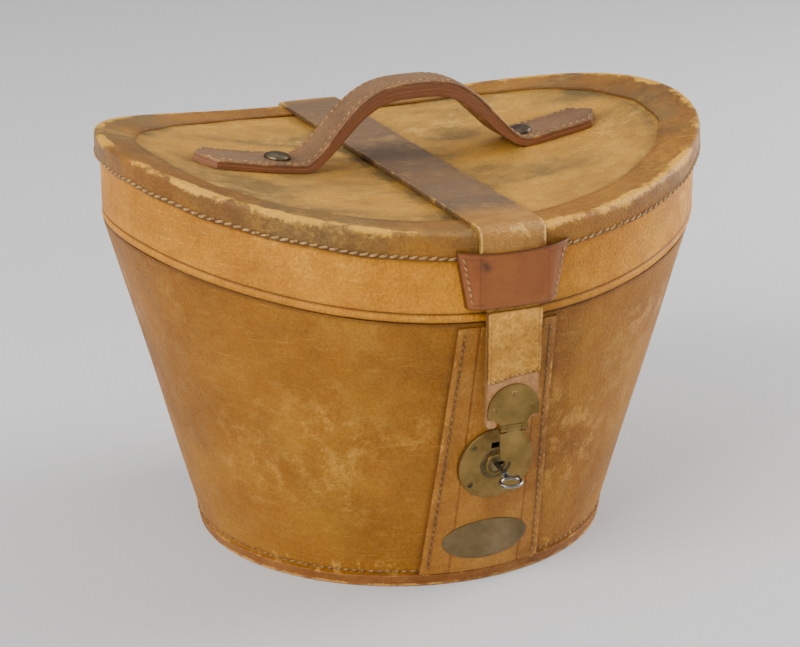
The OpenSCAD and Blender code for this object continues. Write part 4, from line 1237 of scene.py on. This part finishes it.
# Painted shade darkens the bending strip at the slit.
bend = piece("hinge_bend", strip(lambda x, z, h: on_rim(x, z, h + 0.35, side=1),
                                 lambda z: 17.6 + 0 * z, slit_z - 5.5, slit_z + 6.5, 1.7, edge=0.5,
                                 columns=20, rows=40,
                                 mark=lambda x, z, d: {"seam": 0.35 * near(z, slit_z, 1.2)}),
             hide_strap, None)
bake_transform(bend)

# %% [markdown]
# ### The handle
#
# Layers of leather are stacked, thicker at the grip, bent over a former and sewn along both
# edges. The cut edge of the stack is burnished. The grip arches a little to the right. Its
# middle line is the saddle plus a smooth hump, cos^2 of a quarter turn, and each layer lies
# between two distances from that line.


# %% Handle
HANDLE_L = corner_mm("handle_core", 1)[0]
CROWN_X, ARCH_L, TAB_T, GRIP_T = 5.5, 70.0, 5.0, 9.3
SEAM_IN, STUD_X, STUD_CLEAR = 2.7, 75.0, 8.6  # the sewing stops round the studs
arch_rise = corner_mm("handle_top", 1)[2] - lid_z - TAB_T / 2 - GRIP_T / 2 - 0.05


def arch(x):
    """Share of the arch's rise at x: cos^2(90 deg (|x - crown| / length)^1.5)."""
    return np.cos(np.pi / 2 * np.minimum(np.abs(x - CROWN_X) / ARCH_L, 1) ** 1.5) ** 2


def grip_line(x):
    """Middle line of the handle, seen from the front, as z."""
    return lid_z + saddle(x) + (TAB_T / 2 + 0.02) / np.sqrt(1 - (x / SADDLE_R) ** 2) + arch_rise * arch(x)


def handle_t(x):
    """Thickness of the whole stack at x."""
    return TAB_T + (GRIP_T - TAB_T) * arch(x) ** 0.75


def handle_half(x):
    """Half the handle's width at x: a narrow grip, wide tabs, blunt points."""
    return np.minimum(15 - 4 * np.sqrt(arch(x)), (HANDLE_L - np.abs(x)) * 15 / 9)


def on_handle(from_middle, layer):
    """Lays (across, along, height) on the handle, square to its middle line: from_middle and layer
    give the lower face and thickness of the layer at each x."""

    def lay(across, along, h):
        """Steps off the middle line along its normal, (-slope, 1) over its length."""
        z0 = grip_line(along)
        slope = (grip_line(along + 0.05) - grip_line(along - 0.05)) / 0.1
        away = from_middle(along) + h * layer(along)
        size = np.hypot(1, slope)
        return np.stack([along - away * slope / size, across + 0 * along, z0 + away / size], -1)

    return lay


SKIN = 1.35


def handle_crown(x, s):
    """The grip's top is domed: 0.75 mm times the arch times 1 - (x/11)^2."""
    return 0.75 * arch(s) * (1 - (x / 11) ** 2) + 0 * x


def handle_marks(x, s, from_edge):
    """Painted shade along the sewing, rubbed edges, and grime along the middle."""
    return {"seam": 0.42 * near(from_edge, SEAM_IN, 0.55), "tone": 0.35 * near(x, 0, 9),
            "worn": 0.38 * near(from_edge, 0.2, 0.8) + 0.1}


on_top = on_handle(lambda x: handle_t(x) / 2 - SKIN, lambda x: SKIN + 0 * x)
on_core = on_handle(lambda x: -handle_t(x) / 2 + SKIN, lambda x: handle_t(x) - 2 * SKIN)
on_under = on_handle(lambda x: -handle_t(x) / 2 + SKIN, lambda x: -SKIN + 0 * x)
ends = (-HANDLE_L + 0.02, HANDLE_L - 0.02)
grids = strip(on_top, handle_half, *ends, 1.0, edge=0.45, columns=26, rows=170,
              relief=handle_crown, mark=handle_marks)
piece("handle_top_leather", grids, hide_handle, "lid", ["handle_top"])
for name, lay, node in (("handle_core_stack", on_core, "handle_core"),
                        ("handle_under_leather", on_under, "handle_under")):
    grids = strip(lay, lambda s: handle_half(s) - 0.15, *ends, 1.0, edge=0.16, columns=26, rows=170)
    # The bands follow the depth in the stack, so the tone mark is worked out from the points.
    grids = [(points, quads, {"tone": (points[:, 2] - grip_line(points[:, 0])) * 0.9})
             for points, quads, marks in grids]
    piece(name, grids, edge_stack, "lid", [node])

x = np.linspace(-HANDLE_L + 5.2, HANDLE_L - 5.2, 700)
inset = np.maximum(handle_half(x) - SEAM_IN, 0.0)
slope = (grip_line(x + 0.05) - grip_line(x - 0.05)) / 0.1
away = np.stack([-slope, 0 * x, 1 + 0 * x], -1)
keep = np.hypot(np.abs(x) - STUD_X, inset) > STUD_CLEAR
for side, label in ((-1, "front"), (1, "back")):
    row = on_top(side * inset, x, 1.0 + 0.5 * arch(x) * (1 - (inset / 11) ** 2))
    sew(f"handle_sewing_{label}", row[keep], away[keep], 4.3, thread_pale, "lid", "handle_leather",
        long=0.82, wide=0.9, high=0.4, slant=0.2)

# %% [markdown]
# ## Turned and cast metal
#
# The two studs are domes on a thin flange, closed over washers inside. A turned shape is a
# profile spun round its axis. The lock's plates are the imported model's own shapes: a copy is
# joined up and its edges are bevelled, because no cast edge is truly sharp.


# %% Turned pieces and softened copies
def turned(profile, frame_axes, origin, count=64):
    """Spins a profile of (radius, height) round an axis: origin plus r cos a X + r sin a Y + h Z."""
    a = np.arange(count) * 2 * np.pi / count
    r, h = np.asarray(profile, float).T
    ax, ay, az_ = (np.asarray(v, float) for v in frame_axes)
    points = (origin + r[:, None, None] * (np.cos(a)[None, :, None] * ax + np.sin(a)[None, :, None] * ay)
              + h[:, None, None] * az_)
    return grid(points, wrap_columns=True)


dome = [(7.5 * math.sin(a), 0.6 + 2.9 * math.cos(a))
        for a in np.radians([12, 24, 36, 48, 60, 72, 82, 90])]
shank = [(7.56, 0.3), (7.5, 0.02), (2.0, 0.0), (1.95, -11.0), (0, -11.2)]
stud_profile = [(0, 3.5)] + dome + shank
for side, label in SIDES:
    x = side * STUD_X
    tilt = math.asin(x / SADDLE_R)
    up = np.array([-math.sin(tilt), 0, math.cos(tilt)])
    flat = np.array([math.cos(tilt), 0, math.sin(tilt)])
    seat = np.array([x, 0, lid_z + saddle(x)]) + up * (TAB_T + 0.05)
    piece(f"dome_stud_{label}", [turned(stud_profile, (flat, (0, 1, 0), up), seat)], bronzed, "lid",
          [f"stud_{label}"])


def softened(node, name, material, body, bevel=0.2):
    """A joined-up copy of a CAD node with its sharp edges bevelled by a modifier."""
    mesh = frame["nodes"][node].data.copy()
    mesh.name = name
    bm = bmesh.new()
    bm.from_mesh(mesh)
    bmesh.ops.remove_doubles(bm, verts=bm.verts, dist=SAME_POINT)
    bmesh.ops.dissolve_limit(bm, angle_limit=math.radians(0.8), verts=bm.verts, edges=bm.edges)
    bm.to_mesh(mesh)
    bm.free()
    mesh.polygons.foreach_set("use_smooth", np.ones(len(mesh.polygons), bool))
    mesh.set_sharp_from_angle(angle=math.radians(35))
    made = bpy.data.objects.new(name, mesh)
    bpy.context.scene.collection.objects.link(made)
    ease = made.modifiers.new("eased_edges", "BEVEL")
    ease.width, ease.segments = bevel * MM, 2
    ease.limit_method, ease.angle_limit = "ANGLE", math.radians(40)
    ease.harden_normals = True
    return dress(made, material, body, [node])


softened("lock_plate", "lock_plate_brass", brass, "bucket", 0.35)
softened("hasp_plate", "hasp_plate_brass", brass, "tongue", 0.22)
softened("hasp_flap", "hasp_flap_brass", brass, "hasp", 0.18)
softened("key_barrel", "keyhole_barrel", brass_dark, "barrel", 0.25)

# A shallow rolled ring of dark brass sits on the plate round the barrel; its darkness is painted shade for
# the recess round the barrel.
lock_out = np.array([0, -math.cos(lean), -math.sin(lean)])
lock_up = np.array([0, -math.sin(lean), math.cos(lean)])
lock_x = np.array([1.0, 0, 0])
lock_axes = (lock_x, lock_up, lock_out)
ring_profile = [(6.55, 2.9), (6.55, 3.1), (7.6, 3.04), (8.5, 3.12), (8.9, 3.3), (9.3, 3.28),
                (9.55, 3.05), (9.6, 2.9), (6.55, 2.9)]
ring = turned(ring_profile, lock_axes, lock_middle, 96)
piece("barrel_shade_ring", [ring], brass_dark, "bucket")

# %% [markdown]
# ### The blank oval and the key
#
# The oval plate is a shallow dome pressed from sheet, blank, and bent to the wall. The key's
# bow is a ring of round wire, drawn as a tube along an ellipse, on a turned neck.

# %% Oval plate
oval_low, oval_high = corner_mm("name_plate", 0), corner_mm("name_plate", 1)
oval_half_w, oval_half_h = oval_high[0], (oval_high[2] - oval_low[2]) / 2
oval_z = (oval_high[2] + oval_low[2]) / 2
r = np.array([0, 0.1, 0.2, 0.3, 0.4, 0.5, 0.6, 0.7, 0.8, 0.88, 0.93, 0.96, 0.98, 0.995, 1.0, 1.0,
              0.9, 0.5, 0.0])[:, None]
h = np.array([1] * 14 + [0.55, 0.0, 0.0, 0.0, 0.0])[:, None]
full = (0.55 + 0.95 * (1 - r**2)) * h
full[12:14] = full[12:14] * np.array([[0.85], [0.6]])
a = angles(96).T
x = oval_half_w * r * np.cos(a)
z = oval_z + (oval_half_h - 0.2) * r * np.sin(a)
piece("blank_oval", [grid(on_wall(x, z, 1.3 + full + 0 * a), wrap_columns=True)], oval_brass,
      "bucket", ["name_plate"], sharp=40)

# %% Key
BOW_OUT, BOW_HALF_X, BOW_HALF_OUT, WIRE_R = 21.8, 5.9, 4.2, 1.02
neck = [(0, 3.9), (1.3, 3.9), (1.3, 13.2), (1.9, 13.6), (1.95, 14.6), (1.3, 15.0), (1.2, 16.6),
        (0, 16.9)]
a = angles(72)
b = np.arange(12)[None] * 2 * np.pi / 12
across = (BOW_HALF_X + WIRE_R * np.cos(b)) * np.cos(a)
outwards = BOW_OUT + (BOW_HALF_OUT + WIRE_R * np.cos(b)) * np.sin(a)
upwards = WIRE_R * np.sin(b) + 0 * a - 0.5
ring = (lock_middle + across[..., None] * lock_x + outwards[..., None] * lock_out
        + upwards[..., None] * lock_up)
piece("key_ring_bow", [turned(neck, lock_axes, lock_middle, 24), grid(ring, True, True)], steel,
      "key", ["key_bow"])

# %% [markdown]
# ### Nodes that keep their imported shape
#
# Pins, nails, the lock's inside and the boards under the leather already have the right
# shape, so they only get their materials.

# %% Materials for the nodes that stay
for node, material in {
    "body_board": board, "bottom_board": board, "lid_board": board, "lid_top_board": board,
    "lock_nails": brass_dark, "hasp_rivets": brass, "knuckle_pin": brass_dark,
    "lock_case": iron, "lock_bolt": iron, "washer_left": iron, "washer_right": iron,
    "key_pin": steel,
}.items():
    for used in frame["nodes"][node].material_slots:
        used.material = material
    print(node, "->", material.name)

# %% [markdown]
# ## Floor, light and camera
#
# The box stands on a plain pale floor, wide enough to be seen from any side. A large softbox
# high on the left gives the long soft highlights of leather, and a second one on the right
# lights that side. Weak ones in front, above and behind open the shadows. A soft sun, as wide
# as a white ceiling, and a pale grey room fill the rest.


# %% Studio and camera
def paper():
    """Matt studio paper, slightly grey."""
    material, tree, out = new_material("studio_paper")
    place = add(tree, "TexCoord").outputs["Object"]
    tooth = add(tree, "TexNoise", {"Vector": place, "Scale": 600.0, "Detail": 3.0})
    relief = add(tree, "Bump", {"Height": tooth.outputs["Fac"], "Strength": 0.05, "Distance": 0.0005})
    shader = add(tree, "BsdfPrincipled", {"Base Color": linear("#CACACA"), "Roughness": 0.9,
                                          "Normal": relief.outputs["Normal"]})
    tree.links.new(shader.outputs[0], out.inputs["Surface"])
    return material


span = np.linspace(-9.0, 9.0, 37)
x, y = np.meshgrid(span, span)
floor_points = np.stack([x, y, -0.0002 + 0 * x], -1)
verts, faces, _ = grid(floor_points)
floor_mesh = bpy.data.meshes.new("studio_floor")
floor_mesh.from_pydata(verts, [], faces)
floor_mesh.materials.append(paper())
floor = bpy.data.objects.new("studio_floor", floor_mesh)
bpy.context.scene.collection.objects.link(floor)
print("floor faces up:", floor_mesh.polygons[0].normal.z > 0)


def softbox(name, place, aim, width, height, power, tint="#FFFFFF"):
    """An area light turned from its place towards a point."""
    data = bpy.data.lights.new(name, "AREA")
    data.shape, data.size, data.size_y, data.energy = "RECTANGLE", width, height, power
    data.color = linear(tint)[:3]
    lamp = bpy.data.objects.new(name, data)
    bpy.context.scene.collection.objects.link(lamp)
    lamp.location = place
    turn = np.array(aim) - np.array(place)
    tilt = math.acos(-turn[2] / np.linalg.norm(turn))
    lamp.rotation_euler = (tilt, 0, math.atan2(turn[1], turn[0]) - math.pi / 2)
    return lamp


softbox("softbox_left", (-1.7, -0.7, 1.5), (0, 0, 0.1), 1.6, 1.2, 62)
softbox("softbox_right", (1.75, 0.0, 0.9), (0, 0, 0.1), 1.2, 1.4, 50)
softbox("softbox_front", (0.4, -2.3, 1.2), (0, 0, 0.1), 1.6, 1.0, 5)
softbox("softbox_above", (0.2, 0.5, 2.2), (0, 0, 0.1), 2.0, 2.0, 8)
ceiling = bpy.data.lights.new("white_ceiling", "SUN")
ceiling.energy, ceiling.angle = 1.0, math.radians(120)
bpy.context.scene.collection.objects.link(bpy.data.objects.new("white_ceiling", ceiling))
softbox("softbox_backdrop", (-1.7, 0.9, 1.7), (-0.7, 1.9, 0.3), 1.0, 1.0, 9)
world = bpy.data.worlds.new("studio_room")
world.use_nodes = True
world.node_tree.nodes["Background"].inputs[0].default_value = linear("#D8D8DA")
world.node_tree.nodes["Background"].inputs[1].default_value = 0.27
bpy.context.scene.world = world

AZIMUTH, ELEVATION, ROLL = math.radians(-23.58), math.radians(19.69), math.radians(0.2)
AIM_Z, AIM_RIGHT, DISTANCE = 0.11248, 0.00006, 1.2856
right = np.array([math.cos(AZIMUTH), math.sin(AZIMUTH), 0])
level = math.cos(ELEVATION)
back = np.array([math.sin(AZIMUTH) * level, -math.cos(AZIMUTH) * level, math.sin(ELEVATION)])
above = np.cross(back, right)
place = np.array([0, 0, AIM_Z]) + right * AIM_RIGHT + back * DISTANCE
data = bpy.data.cameras.new("camera")
data.lens, data.sensor_width, data.clip_end = 99.47, 36, 50
camera = bpy.data.objects.new("camera", data)
bpy.context.scene.collection.objects.link(camera)
r = right * math.cos(ROLL) + above * math.sin(ROLL)
u = -right * math.sin(ROLL) + above * math.cos(ROLL)
camera.matrix_world = Matrix([[r[i], u[i], back[i], place[i]] for i in range(3)] + [[0, 0, 0, 1]])
bpy.context.scene.camera = camera
bpy.context.view_layer.update()
